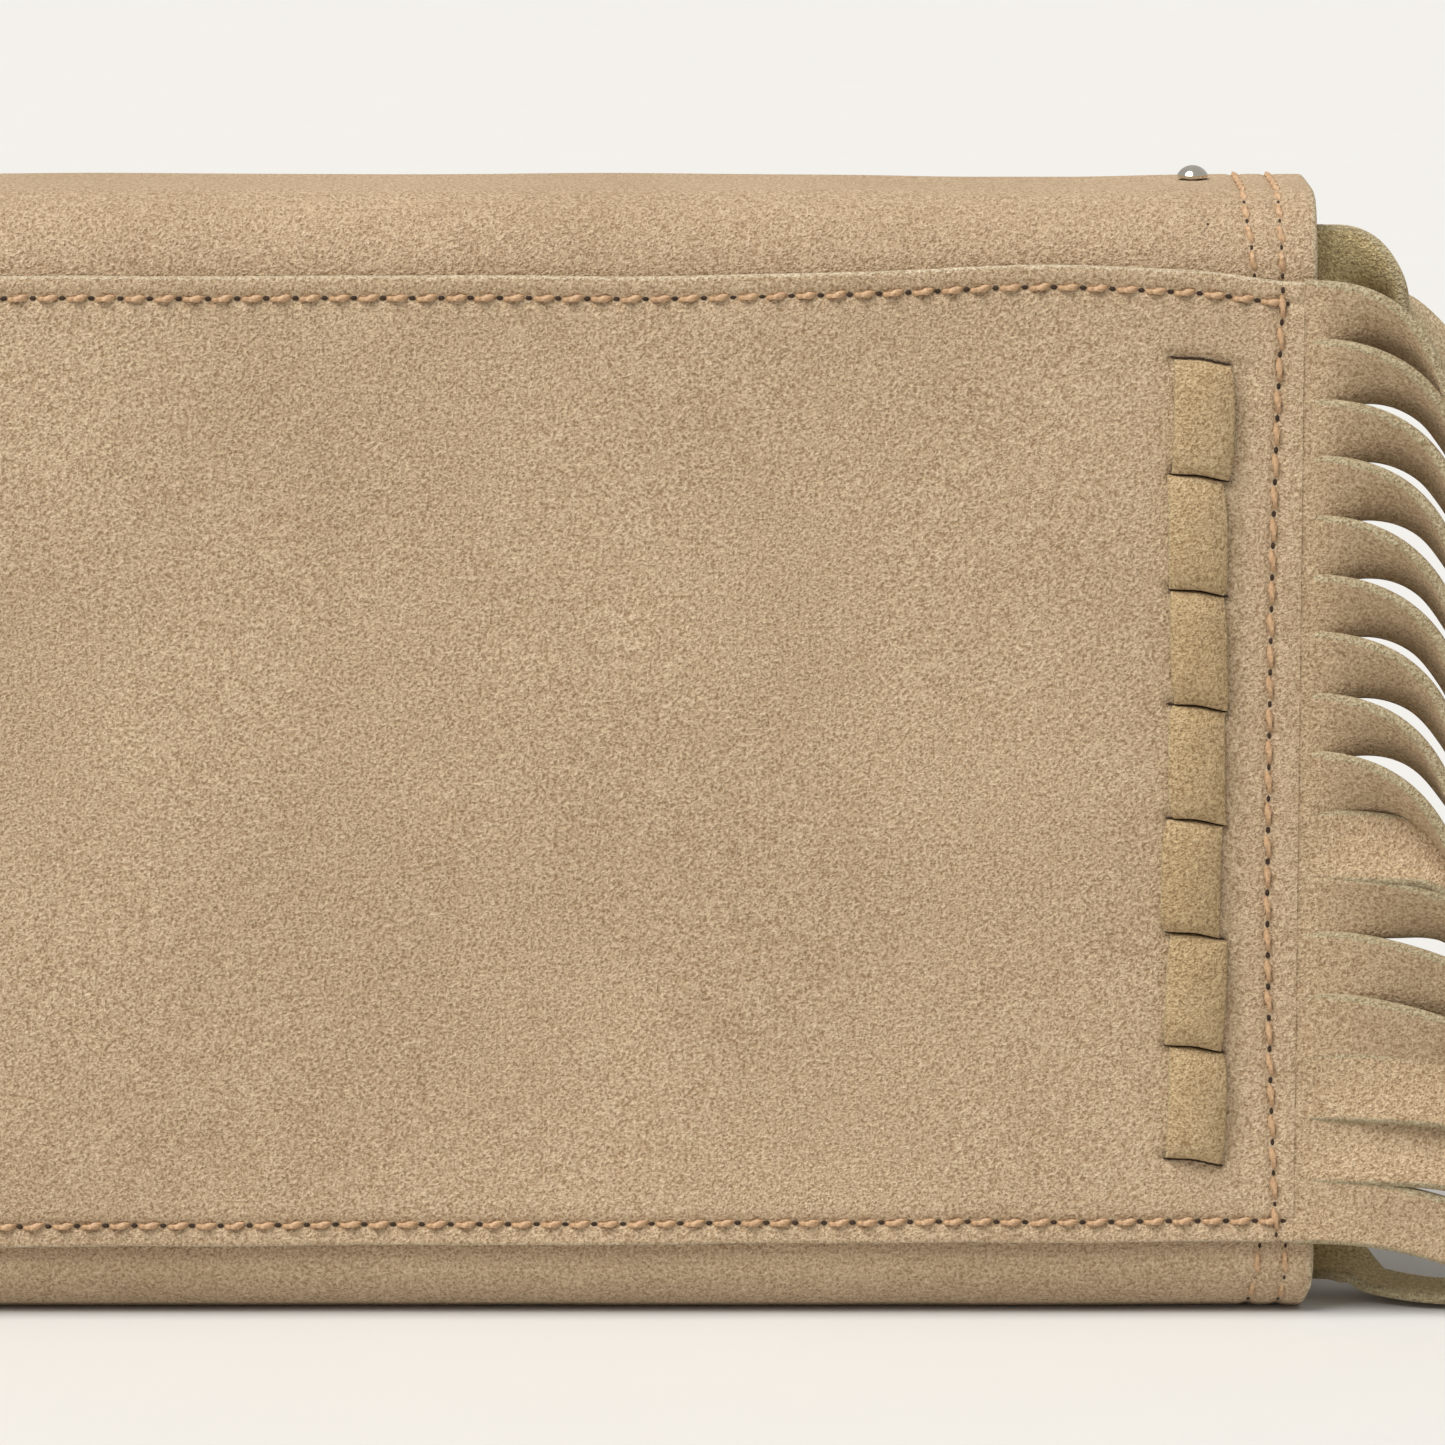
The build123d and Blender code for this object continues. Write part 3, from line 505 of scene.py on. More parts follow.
def side_seam(z):
    """Where the seam beside the fringe runs: its top lies 0.95 and its foot 1.4 past its middle."""
    return 97.4 + 0.95 * np.clip((z - 48) / 63, 0, 1) ** 3 + 1.4 * np.clip((48 - z) / 39, 0, 1) ** 1.5


def slit(x, number, bottom):
    """The height of a lacing slit at x: it falls by 0.13 a millimetre and is bowed up by 0.25."""
    return bottom + number * LACE_PITCH - 0.13 * (x - LACE_X) + 0.25 * bell(x - LACE_X, 1.8)


BACK_SLIT = (lace_low[2] + lace_high[2] - (LACE_SLITS - 1) * LACE_PITCH) / 2
LACE_EDGES = (86.6, 89.7, 92.8)
FRINGE_SEAM = (97.4, 98.2)
panel_across = spaced(PANEL_LEFT, PANEL_END, 3.0, SEAM_X, *LACE_EDGES, *FRINGE_SEAM)
height = PANEL_TOP - PANEL_BOTTOM
near_seam = np.array([0.3, 0.8, 1.3, 1.7, 2.05, 2.4, 2.8, 3.4, 4.4]) / height
slit_levels = (PANEL_TOP - BACK_SLIT - LACE_PITCH * np.arange(LACE_SLITS)) / height
near_slit = (slit_levels[:, None] + np.array([-1.4, -0.9, -0.45, 0.0, 0.45, 0.9, 1.4]) / height).ravel()
levels = np.unique(np.concatenate([np.linspace(0, 1, 46), near_seam, 1 - near_seam, near_slit]))
x, level = np.meshgrid(panel_across, levels)
z = top_edge(x) + (bottom_edge(x) - top_edge(x)) * level
steps = np.arange(LACE_SLITS)[:, None, None]
from_slit = np.min(np.abs(z - slit(x, steps, BACK_SLIT)), axis=0)
beside_lace = smooth((3.9 - np.abs(x - LACE_X)) / 0.8)
LAST_SLIT = BACK_SLIT + (LACE_SLITS - 1) * LACE_PITCH
inside_lace = smooth((z - BACK_SLIT + 0.5) / 0.8) * smooth((LAST_SLIT + 0.5 - z) / 0.8)
seam_distance = np.minimum(np.abs(z - top_edge(x) + SEAM_DROP), np.abs(z - bottom_edge(x) - SEAM_DROP))
furrow = FURROW * sum(bell(gap, FURROW_WIDTH) for gap in (seam_distance, x - side_seam(z), x - SEAM_X))
furrow += 0.55 * beside_lace * bell(from_slit, 0.8)
furrow += 0.3 * inside_lace * bell(x - LACE_X - 4.6, 1.5)
waves = 0.1 * (1 + ripple(x, z, 47, 0.7)) + 0.05 * (1 + ripple(x, z, 13, 1.9))
furrow += waves * smooth((PANEL_END - x) / 6)
print("panel grid", x.shape, "deepest furrow", round(float(furrow.max()), 2))

# %% Panel sheet
panel_face = np.stack([x, PANEL_FACE + furrow, z], axis=-1)
panel_shape = leather_sheet(panel_face, PANEL_SHEET - furrow, bulge=0.5, rounded=(1, 0, 1, 1))
panel = make("back_panel_sheet", panel_shape, suede_panel)
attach(panel, "body")
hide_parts("back_panel")

# %% [markdown]
# ## Ribbons
# A fringe strip and the wrist strap are flat ribbons that twist as they fall. A ribbon is a line of
# middles, the direction of its width at each of them, and a thickness. A twist of 0 stands it on edge, 90
# lays it flat.


# %% Ribbon helper
def ribbon(middles, twists, width, thickness, turned=False, cup=0.0, rounded=(1, 1, 1, 1)):
    """A sheet along middles, whose width lies along up * cos(twist) - side * sin(twist).

    Both up and side are square to the way.
    Where the way runs along the side direction, the width stands upright. turned puts the napped face on the
    other side, and cup hollows the face by that much.
    """
    way = unit(np.gradient(middles, axis=0))
    side = unit(np.array([0.0, 1.0, 0.0]) - way * way[:, 1:2])
    up = np.cross(way, side)
    early = np.arange(len(way))[:, None] < len(way) / 2
    crosswise = np.abs(way[:, 1:2]) > 0.8
    up = np.where(crosswise, np.where(early, [[0.0, 0.0, 1.0]], [[0.0, 0.0, -1.0]]), up)
    angle = np.radians(twists)[:, None]
    width_way = up * np.cos(angle) - side * np.sin(angle)
    depth_way = np.cross(width_way, way)
    share = np.array([0.5, 0.46, 0.36, 0.18, 0.0, -0.18, -0.36, -0.46, -0.5])[:, None, None]
    facing = -1 if turned else 1
    wide = np.broadcast_to(width, len(middles))[:, None]
    hollow = cup * (1 - (2 * share) ** 2)
    outer = middles + facing * share * width_way * wide - facing * depth_way * (thickness / 2 - hollow)
    return leather_sheet(outer, thickness, rounded=rounded)


print("ribbons ready")

# %% [markdown]
# ## Fringe
# The panel's end is slit into sixteen strips. Each one leaves the panel flat, its top edge turns towards
# the back as it droops, and the lower ones rest on each other. The heights follow the same rule as the CAD
# strips: a strip hangs freely until it meets the one below. Each strip bends at its root, and it is baked
# in place, not attached to either body.

# %% Where the strips run
STRIP_SHEET = 1.3
ROOT_X = HALF + 0.3
FINE = 0.5
REACH = 6
STRIP_LENGTH = 92.0
CAD_PITCH = (PANEL_TOP - PANEL_BOTTOM) / STRIPS
CAD_STRIP = CAD_PITCH - 0.35
FLOOR_REST = 1.1
LAYER_GAP = 0.8
stations = np.arange(0, STRIP_LENGTH + FINE, FINE)


def strip_twist(index, x):
    """A strip's twist in degrees, x past its root; the lower strips turn more slowly."""
    low = smooth((index - 8) / 7)
    return 90 * smooth(x / (16 + 22 * low)) ** (0.7 + 0.3 * low)


def strip_fall(index, below):
    """A strip's middle height at each station: the free fall, held up by the strip below where they meet."""
    root = PANEL_TOP - CAD_PITCH * (index + 0.5)
    low = smooth((index - 6) / 9)
    hung = 0.0054 * np.minimum(stations, 14.2) ** 3 + 3.2 * np.maximum(stations - 14.2, 0)
    laid = (root - FLOOR_REST) * smooth(stations / 50)
    free = root - hung * (1 - low) - laid * low
    turn = np.radians(strip_twist(index, stations))
    band = CAD_STRIP * np.cos(turn) + STRIP_SHEET * np.sin(turn)
    rest = FLOOR_REST + (band - STRIP_SHEET) / 2
    if below is not None:
        order = np.arange(len(stations))
        ahead = below[np.minimum(order + REACH, len(order) - 1)]
        behind = below[np.maximum(order - REACH, 0)]
        steep = np.minimum(np.hypot(1, (behind - ahead) / (2 * REACH * FINE)), 3.4)
        rest = below + np.minimum(band * steep + LAYER_GAP, CAD_PITCH + 0.02 * stations)
    soft = np.minimum(0.08 * stations, 1.2)
    gap = free - rest
    return rest + (gap + np.hypot(gap, soft)) / 2


def slit_height(number):
    """The height of a fringe slit at the panel's end, bowed up by 1.2 as a hand-held knife leaves it."""
    share = number / STRIPS
    ends = top_edge(PANEL_END) + (bottom_edge(PANEL_END) - top_edge(PANEL_END)) * share
    return ends + 1.2 * np.sin(np.pi * share) + 0.12 * np.sin(2.4 * number) * (share % 1 > 0)


# Near the root: how far each strip has turned, in degrees, and come down, at these reaches past it
TURN_REACH, NEAR_REACH = 15.5, 14.3
NEAR_TURN = [84] * 9 + [-38, 45, 25, 25, -12, -18, 8]
NEAR_DROP = [10.5] + [6.3] * 8 + [1.1, 1.0, 2.3, 2.3, 0.6, 0.5, 2.1]


def strip_droop(index):
    """How far a strip has come down near its root: drop * (x / reach)^power, then straight on."""
    power = 3.2 if index < 9 else 2.0
    bent = np.minimum(stations, NEAR_REACH) / NEAR_REACH
    beyond = np.maximum(stations / NEAR_REACH - 1, 0)
    return NEAR_DROP[index] * (bent**power + power * beyond)


def strip_turn(index, past):
    """A strip's twist in degrees: the listed turn near the root, easing into the even one further out."""
    near = NEAR_TURN[index] * np.clip(past / TURN_REACH, 0, 1)
    return near + (strip_twist(index, np.maximum(past, 0)) - near) * smooth((past - 14) / 16)


falls = {}
below = None
for index in reversed(range(STRIPS)):
    below = strip_fall(index, below)
    falls[index] = below
print("top strip ends at height", round(float(falls[0][-1]), 1))

# %% Strip sheets
SLIT_GAP = 0.22
for index in range(STRIPS):
    high, low = slit_height(index), slit_height(index + 1)
    settled = smooth((stations - 11) / 22)
    level = ((high + low) / 2 - strip_droop(index)) * (1 - settled) + falls[index] * settled
    way = np.stack([ROOT_X + stations, np.full(len(stations), BACK - PANEL_SHEET / 2), level], axis=1)
    start = way[:1].copy()
    start[0, 0] = PANEL_END
    way = np.concatenate([start, way])
    marks = np.concatenate([np.arange(0, 26, 0.6), np.arange(26, STRIP_LENGTH, 2.2), [STRIP_LENGTH]])
    middles = along(way, marks)
    past = middles[:, 0] - ROOT_X
    sway = 0.3 * np.sin(middles[:, 0] / 9 + 1.9 * index) * smooth((past - 18) / 20)
    middles[:, 1] += sway
    open_gap = SLIT_GAP * smooth((past + 1.0 + 0.6 * np.sin(2.2 * index)) / 1.6)
    width = (high - low) + (CAD_STRIP - (high - low)) * smooth(past / 40) - open_gap - 0.04
    width = np.minimum(width, 6.6)
    twist = strip_turn(index, past) + 4 * np.sin(1.7 * index + past / 7) * smooth(past / 12)
    shape = ribbon(middles, twist, width, STRIP_SHEET, cup=0.12, rounded=(1, 1, 1, 0))
    strip = make(f"fringe_strip_sheet_{index + 1:02d}", shape, suede_fringe)
    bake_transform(strip)
    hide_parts(f"fringe_strip_{index + 1:02d}")

# %% [markdown]
# ## Wrist strap
# The strap is a flat band of the same leather. Each end is turned over and sewn flat on the end gusset, its
# flesh side shows where it leaves, and it twists over and falls in a loop. A cloth simulation could drape
# it. Here it is a ribbon through listed points, which set its turns directly.

# %% Points of the strap
STRAP_WIDTH = anchor_high[2] - anchor_low[2]
STRAP_START = strap_low[0]
TOP_Z = (anchor_low[2] + anchor_high[2]) / 2
FOOT_Z = (foot_low[2] + foot_high[2]) / 2
TAB_X = (anchor_low[0] + anchor_high[0]) / 2
# Going down: how far past its start, Y, height as a share of its upper end's, and twist in degrees
STRAP_FALL = [
    (0, 0, 1.0, 0),
    (1.3, 0, 1.0, 0),
    (4.3, 0, 0.998, 14),
    (7.9, 0.2, 0.976, 60),
    (10.9, 0.8, 0.944, 112),
    (15.4, 1.8, 0.872, 142),
    (22.9, 3.2, 0.724, 120),
    (31.9, 4.4, 0.565, 98),
    (41.4, 5.2, 0.397, 90),
    (49.9, 5.6, 0.238, 90),
    (54.9, 5.6, 0.124, 90),
]
# Coming back along the ground: how far past its start, Y, height and twist
STRAP_RETURN = [
    (54.4, 5.2, 6.0, 90),
    (48.9, 4.0, 1.8, 90),
    (38.9, 1.2, 1.0, 90),
    (26.9, -3.2, 1.0, 90),
    (15.9, -6.2, 1.2, 90),
    (8.9, -4.4, 1.7, 88),
    (6.3, -3.0, 2.6, 78),
    (4.0, -1.5, 3.8, 52),
    (1.3, -0.1, FOOT_Z, 6),
    (0, 0, FOOT_Z, 0),
]
print("strap starts at X", round(float(STRAP_START), 1))


# %% Strap sheet
def curve_through(points, count):
    """A smooth line through points: between two of them, a cubic whose slope at each point is half the step
    from the point before to the point after (a Catmull-Rom spline)."""
    points = np.asarray(points, float)
    before = np.vstack([2 * points[0] - points[1], points[:-1]])
    after = np.vstack([points[1:], 2 * points[-1] - points[-2]])
    slope = (after - before) / 2
    place = np.linspace(0, len(points) - 1, count)
    first = np.minimum(place.astype(int), len(points) - 2)
    t = (place - first)[:, None]
    a, b, m, n = points[first], points[first + 1], slope[first], slope[first + 1]
    from_first = (2 * t**3 - 3 * t**2 + 1) * a + (t**3 - 2 * t**2 + t) * m
    return from_first + (3 * t**2 - 2 * t**3) * b + (t**3 - t**2) * n


fall = [(STRAP_START + dx, y, share * TOP_Z, turn) for dx, y, share, turn in STRAP_FALL]
back = [(STRAP_START + dx, y, z, turn) for dx, y, z, turn in STRAP_RETURN]
TAB_END = anchor_high[1]
TAB_BENDS = [(0.0, TAB_END), (0.0, TAB_END * 0.6), (0.0, 2.2), (0.25, 0.7), (0.95, 0.08)]
tab_top = [(TAB_X + dx, y, TOP_Z, 0) for dx, y in TAB_BENDS]
tab_foot = [(TAB_X + dx, y, FOOT_Z, 0) for dx, y in reversed(TAB_BENDS)]
strap_line = curve_through(tab_top + fall + back + tab_foot, 260)
strap_sheet = ribbon(strap_line[:, :3], strap_line[:, 3], STRAP_WIDTH, LEATHER, turned=True, cup=0.1)
strap = make("wrist_strap_sheet", strap_sheet, suede_strap)
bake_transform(strap)
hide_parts("wrist_strap", "strap_anchor_top", "strap_anchor_bottom")
print("strap line", round(path_length(strap_line[:, :3]), 1), "mm long")

# %% [markdown]
# ## Lacing
# A soft flat lace runs up the panel in long stitches. Each one comes out of a slit, lies over the panel as
# a low pillow and dives into the next slit. A superellipse gives that outline: nearly flat on top, with
# quick round ends. Its underside sits inside the panel, as the real one is pressed into the soft leather.


# %% Lace helper
LACE_GAP = 0.1
LACE_SUNK, LACE_LIFT, LACE_CROWN = 0.6, 1.8, 0.3
SQUARENESS = 3.6


def lace_stitch(side, face_y, bottom, number):
    """One lace stitch between two slits, as a closed pillow; side is -1 on the back and 1 on the flap.

    Down the stitch, with a from 0 to 180: v = L/2 - (L/2 - gap) * sign(cos a) * |cos a|^(2/n), and
    rise = lift * sin(a)^(2/n) + crown * sin(a) - sunk.
    """
    stretches = [np.linspace(first, last, 9) for first, last in ((0, 60), (66, 114), (120, 180))]
    angle = np.radians(np.concatenate(stretches))
    power = 2 / SQUARENESS
    v = LACE_PITCH / 2 - (LACE_PITCH / 2 - LACE_GAP) * np.sign(np.cos(angle)) * np.abs(np.cos(angle)) ** power
    rise = LACE_LIFT * np.sin(angle) ** power + LACE_CROWN * np.sin(angle) - LACE_SUNK
    share = np.array([-0.5, -0.47, -0.4, -0.25, -0.08, 0.08, 0.25, 0.4, 0.47, 0.5])
    sway = 0.32 * np.sin(2.1 * number + 0.6) + 0.25 * np.sin(angle * 1.4 + number)
    width = LACE_WIDTH - 0.35 * np.abs(np.cos(angle)) ** 3 + 0.2 * np.sin(1.3 * number)
    across = share[None, :] * width[:, None] + sway[:, None]
    round_off = 0.75 * (2 * np.abs(share)) ** 3
    top = slit(LACE_X + across, number + 1, bottom)
    low = slit(LACE_X + across, number, bottom)
    down = v[:, None] / LACE_PITCH
    z = top + (low - top) * down
    puff = 0.1 * ripple(across, z, 5.5, number)
    out = rise[:, None] - round_off * np.clip(rise[:, None], 0, 1) + puff * (rise[:, None] > 0.5)
    x = LACE_X - side * across
    outer = np.stack([x, face_y + side * out, z], axis=-1)
    inner = np.stack([x, face_y + side * np.minimum(out - 0.15, -0.3), z], axis=-1)
    return leather_sheet(outer, inner=inner, bulge=0.25)


def lacing(name, side, face_y, bottom, body):
    """All stitches of one lacing as one piece."""
    shapes = [lace_stitch(side, face_y, bottom, number) for number in range(LACE_SLITS - 1)]
    piece = make(name + "_lace", joined(shapes), suede_lace)
    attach(piece, body)
    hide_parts(name)


FRONT_SLIT = (front_lace_low[2] + front_lace_high[2] - (LACE_SLITS - 1) * LACE_PITCH) / 2
lacing("back_lacing", -1, PANEL_FACE, BACK_SLIT, "body")
lacing("front_lacing", 1, FLAP_FACE, FRONT_SLIT, "flap")

# %% [markdown]
# ## Gussets
# Each end is closed by a narrow gusset, a channel whose two flanges are sewn inside the walls. Its web is
# soft and sinks in a little between the sewn strap ends, so it is a channel profile with a sag, not a flat
# plate.

# %% Gusset sheets
GUSSET = 1.2
FLANGE_TOP = 108.5
GUSSET_CORNER = 6.0
GUSSET_BEND = 1.3
FLANGE_RADIUS = 4.5
reach = gusset_high[1]
channel = np.concatenate([
    [[gusset_low[0], -reach]],
    arc((gusset_high[0] - GUSSET_BEND, -reach + GUSSET_BEND), GUSSET_BEND, 270, 360, 8),
    arc((gusset_high[0] - GUSSET_BEND, reach - GUSSET_BEND), GUSSET_BEND, 0, 90, 8),
    [[gusset_low[0], reach]],
])
channel_line = along(channel, spaced(0, path_length(channel), 1.0))
share = np.unique(np.concatenate([np.linspace(0, 1, 50), 0.06 * np.linspace(0, 1, 12) ** 2]))
for side, name in ((1, "gusset_fringe_end"), (-1, "gusset_plain_end")):
    y = channel_line[:, 1]
    shoulder = GUSSET_CORNER - np.clip(reach - np.abs(y), 0, GUSSET_CORNER)
    web_top = gusset_high[2] - GUSSET_CORNER + np.sqrt(GUSSET_CORNER**2 - shoulder**2)
    on_web = smooth((channel_line[:, 0] - gusset_high[0] + 2.2) / 1.4)
    top = FLANGE_TOP + (web_top - FLANGE_TOP) * on_web
    z = gusset_low[2] + (top[:, None] - gusset_low[2]) * share
    rise = np.clip(FLANGE_RADIUS - (z - gusset_low[2]), 0, FLANGE_RADIUS)
    waist = (reach - FLANGE_RADIUS + np.sqrt(FLANGE_RADIUS**2 - rise**2)) / reach
    sunk = 1.5 * bell(y[:, None], 6.5) * smooth((z - 14) / 24) * smooth((104 - z) / 22)
    x = channel_line[:, :1] - sunk * on_web[:, None] + 0.1 * ripple(y[:, None], z, 23)
    face = np.stack([side * x, y[:, None] * waist, z], axis=-1)
    face = face if side < 0 else face[:, ::-1]
    skin = make(name + "_sheet", leather_sheet(face, GUSSET), suede_gusset)
    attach(skin, "body")
    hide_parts(name)

# %% [markdown]
# ## Seams
# The stitches are tiny and there are hundreds, so one stitch is a grid of 8 by 6 points, made for all of
# them at once. A cord of two plies has a waisted section that turns along its length.


# %% Seam helpers
def seam(path, normals, pitch):
    """Needle holes a pitch apart along a path, with the surface's normal at each of them."""
    length = path_length(path)
    marks = np.linspace(0, length, max(int(round(length / pitch)), 1) + 1)
    return along(path, marks), unit(along(path, marks, np.broadcast_to(normals, path.shape)))


THREAD = 0.32
RINGS, SIDES = 8, 6


def thread_shape(seams):
    """Every stitch between two holes: middle + radius * (across * cos a + normal * sin a).

    The middle rises from the hole and goes back down as sin(pi t)^0.6, and slants a little across the seam.
    The radius swells and shrinks twice round the section, and that swelling turns once along the stitch.
    """
    start = np.concatenate([holes[:-1] for holes, normal in seams])
    end = np.concatenate([holes[1:] for holes, normal in seams])
    normal = unit(np.concatenate([normal[:-1] + normal[1:] for holes, normal in seams]))
    number = np.arange(len(start))[:, None]
    reach = end - start
    start = start + reach * (0.13 + 0.02 * np.sin(1.9 * number))
    reach = reach * 0.74
    across = unit(np.cross(normal, reach))
    t = np.linspace(0, 1, RINGS)[None, :, None]
    slant = (0.3 + 0.12 * np.sin(2.7 * number))[..., None]
    middle = start[:, None] + reach[:, None] * t + across[:, None] * slant * (t - 0.5)
    middle = middle + normal[:, None] * (0.52 * np.sin(np.pi * t) ** 0.6 - 0.2)
    around = np.linspace(0, 2 * np.pi, SIDES, endpoint=False)[None, None, :]
    plies = 1 + 0.25 * np.cos(2 * around - 3 * np.pi * t)
    radius = (THREAD * (1 - 0.5 * np.abs(2 * t - 1) ** 5) * plies)[..., None]
    circle = across[:, None, None] * np.cos(around)[..., None]
    circle = circle + normal[:, None, None] * np.sin(around)[..., None]
    points = middle[:, :, None] + radius * circle
    grid = np.arange(len(start) * RINGS * SIDES).reshape(-1, RINGS, SIDES)
    turned = np.roll(grid, -1, axis=2)
    sides = np.stack([grid[:, :-1], turned[:, :-1], turned[:, 1:], grid[:, 1:]], axis=-1)
    first, last = grid[:, 0], grid[:, -1]
    caps = [first[:, [3, 2, 1, 0]], first[:, [5, 4, 3, 0]], last[:, [0, 1, 2, 3]], last[:, [0, 3, 4, 5]]]
    return {"points": points.reshape(-1, 3), "faces": np.concatenate([sides.reshape(-1, 4), *caps])}


def shade_lens_shape(points, normals, way, size):
    """A flat lens at each point that carries the painted shade of a hole: a six-sided dome with half axes
    size, along way, across and out.
    """
    around = np.linspace(0, 2 * np.pi, 6, endpoint=False)[None, :, None]
    way = unit(way - normals * np.sum(way * normals, axis=1, keepdims=True))
    cross = np.cross(normals, way)
    ring = size[0] * way[:, None] * np.cos(around) + size[1] * cross[:, None] * np.sin(around)
    low = points[:, None] + ring - normals[:, None] * size[2]
    high = points[:, None] + 0.55 * ring + normals[:, None] * size[2]
    corners = np.concatenate([low, high], axis=1)
    grid = np.arange(len(points) * 12).reshape(-1, 12)
    order = np.arange(6)
    after = np.roll(order, -1)
    walls = grid[:, np.stack([order, after, after + 6, order + 6], axis=-1)].reshape(-1, 4)
    caps = [grid[:, [3, 2, 1, 0]], grid[:, [5, 4, 3, 0]], grid[:, [6, 7, 8, 9]], grid[:, [6, 9, 10, 11]]]
    return {"points": corners.reshape(-1, 3), "faces": np.concatenate([walls, *caps])}


def on_sheet(face, normal, across, wanted):
    """Where a line at the wanted X crosses each row of a sheet: its points and normals there."""
    right = np.clip(np.searchsorted(across, wanted), 1, len(across) - 1)
    share = ((wanted - across[right - 1]) / (across[right] - across[right - 1]))[:, None]
    rows = np.arange(len(wanted))
    points = face[rows, right - 1] * (1 - share) + face[rows, right] * share
    return points, unit(normal[rows, right - 1] * (1 - share) + normal[rows, right] * share)


print("a stitch has", RINGS * SIDES, "points")

# %% [markdown]
# ## Where the seams run
# One seam goes round the panel, and two rows cross each end of the body, over the top and round the bottom,
# where they hold the gussets. The flap's hem and the sewn strap ends have their own. A seam's holes are
# read off the sheet that it goes through, so the thread lies in the furrow.

# %% Seams on the body and on the flap
LONG_PITCH, SIDE_PITCH, TAB_PITCH = 3.1, 3.45, 2.2
LOWEST_STITCH = 0.7


def panel_seam(x, z, pitch):
    """A seam on the back panel along points x, z, as deep as the panel's furrow."""
    path = np.stack([x, PANEL_FACE + FURROW + 0 * x, z], axis=1)
    return seam(path, (0.0, -1.0, 0.0), pitch)


run = np.linspace(SEAM_X, float(side_seam(PANEL_TOP - 3)) + 0.4, 80)
foot = np.linspace(SEAM_X, float(side_seam(PANEL_BOTTOM + 3)) + 0.9, 80)
climb = np.linspace(PANEL_BOTTOM + 0.9, float(top_edge(98.8)) - 0.6, 80)
body_seams = [
    panel_seam(run, top_edge(run) - SEAM_DROP, LONG_PITCH),
    panel_seam(foot, bottom_edge(foot) + SEAM_DROP, LONG_PITCH),
    panel_seam(side_seam(climb), climb, SIDE_PITCH),
    panel_seam(SEAM_X + 0 * climb[2:-4], climb[2:-4], SIDE_PITCH),
]
flap_seams = []
fold_rows = flap_face[..., 2][:, 0] > FLAP_BOTTOM + FLAP_CORNER
for side in (-1, 1):
    for outer in (False, True):
        wanted = side * row_x(flap_face[:, 0, 2], outer)
        points, normals = on_sheet(flap_face, flap_normal, flap_across, wanted)
        shown = fold_rows & ((points[:, 2] > PANEL_TOP - 0.2) | (points[:, 1] > 0))
        flap_seams.append(seam(points[shown], normals[shown], LONG_PITCH))
        wanted = side * row_x(wrap_face[:, 0, 2], outer)
        points, normals = on_sheet(wrap_face, wrap_normal, wrap_across, wanted)
        lifted = points[:, 2] > LOWEST_STITCH
        behind = lifted & (points[:, 1] < 0) & (points[:, 2] < PANEL_BOTTOM - 0.4)
        for part in (behind, lifted & (points[:, 1] > 0)):
            body_seams.append(seam(points[part], normals[part], LONG_PITCH))
HEM = 2.8
turn_right = arc((HALF - FLAP_CORNER, FLAP_BOTTOM + FLAP_CORNER), FLAP_CORNER - HEM, 0, -90, 20)
hem_line = np.concatenate([turn_right, turn_right[::-1] * [-1, 1]])
hem_path = np.stack([hem_line[:, 0], np.full(len(hem_line), FLAP_FACE - 0.3), hem_line[:, 1]], axis=1)
flap_seams.append(seam(hem_path, (0.0, 1.0, 0.0), LONG_PITCH))
for middle in (TOP_Z, FOOT_Z):
    tab = np.array([[1.9, -2.2], [7.2, -2.2], [7.2, 2.2], [1.9, 2.2], [1.9, -2.2]])
    tab_path = np.stack([np.full(5, HALF - 0.12), tab[:, 0], middle + tab[:, 1]], axis=1)
    body_seams.append(seam(tab_path, (1.0, 0.0, 0.0), TAB_PITCH))
print(len(body_seams), "seams on the body,", len(flap_seams), "on the flap")

# %% Threads, and painted shade at the needle holes
NEEDLE_HOLE = (0.4, 0.27, 0.05)
for seams, body in ((body_seams, "body"), (flap_seams, "flap")):
    threads = make(f"{body}_threads", thread_shape(seams), thread_finish)
    holes = np.concatenate([points for points, normal in seams])
    normals = np.concatenate([normal for points, normal in seams])
    ways = np.concatenate([np.gradient(points, axis=0) for points, normal in seams])
    shape = shade_lens_shape(holes, normals, ways, NEEDLE_HOLE)
    hole_shade_lenses = make(f"{body}_needle_hole_shade", shape, painted_hole_shade)
    for piece in (threads, hole_shade_lenses):
        if body == "flap":
            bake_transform(piece)
        else:
            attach(piece, "body")

# %% Painted shade in the lacing slits and the pinhole
SLIT_HOLE, PIN_HOLE = (0.62, 0.15, 0.05), (0.3, 0.22, 0.08)
SLIT_SUNK = {"body": 0.5, "flap": 0.0}
# Dark lenses along each slit: painted shade where the lace dives into the panel.
for side, face_y, bottom, body in ((-1, PANEL_FACE, BACK_SLIT, "body"), (1, FLAP_FACE, FRONT_SLIT, "flap")):
    steps = np.arange(LACE_SLITS)
    across = LACE_X + np.linspace(-2.7, 2.7, 7)[:, None]
    z = slit(across, steps, bottom) + 0.1 * (steps == LACE_SLITS - 1) - 0.1 * (steps == 0)
    depth = face_y - side * SLIT_SUNK[body] + 0 * z
    points = np.stack([across + 0 * z, depth, z], axis=-1).reshape(-1, 3)
    normals = np.broadcast_to([0.0, float(side), 0.0], points.shape)
    ways = np.broadcast_to([1.0, 0.0, -0.13], points.shape)
    shape = shade_lens_shape(points, normals, ways, SLIT_HOLE)
    slits = make(f"{body}_lace_slit_shade", shape, painted_hole_shade)
    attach(slits, body)
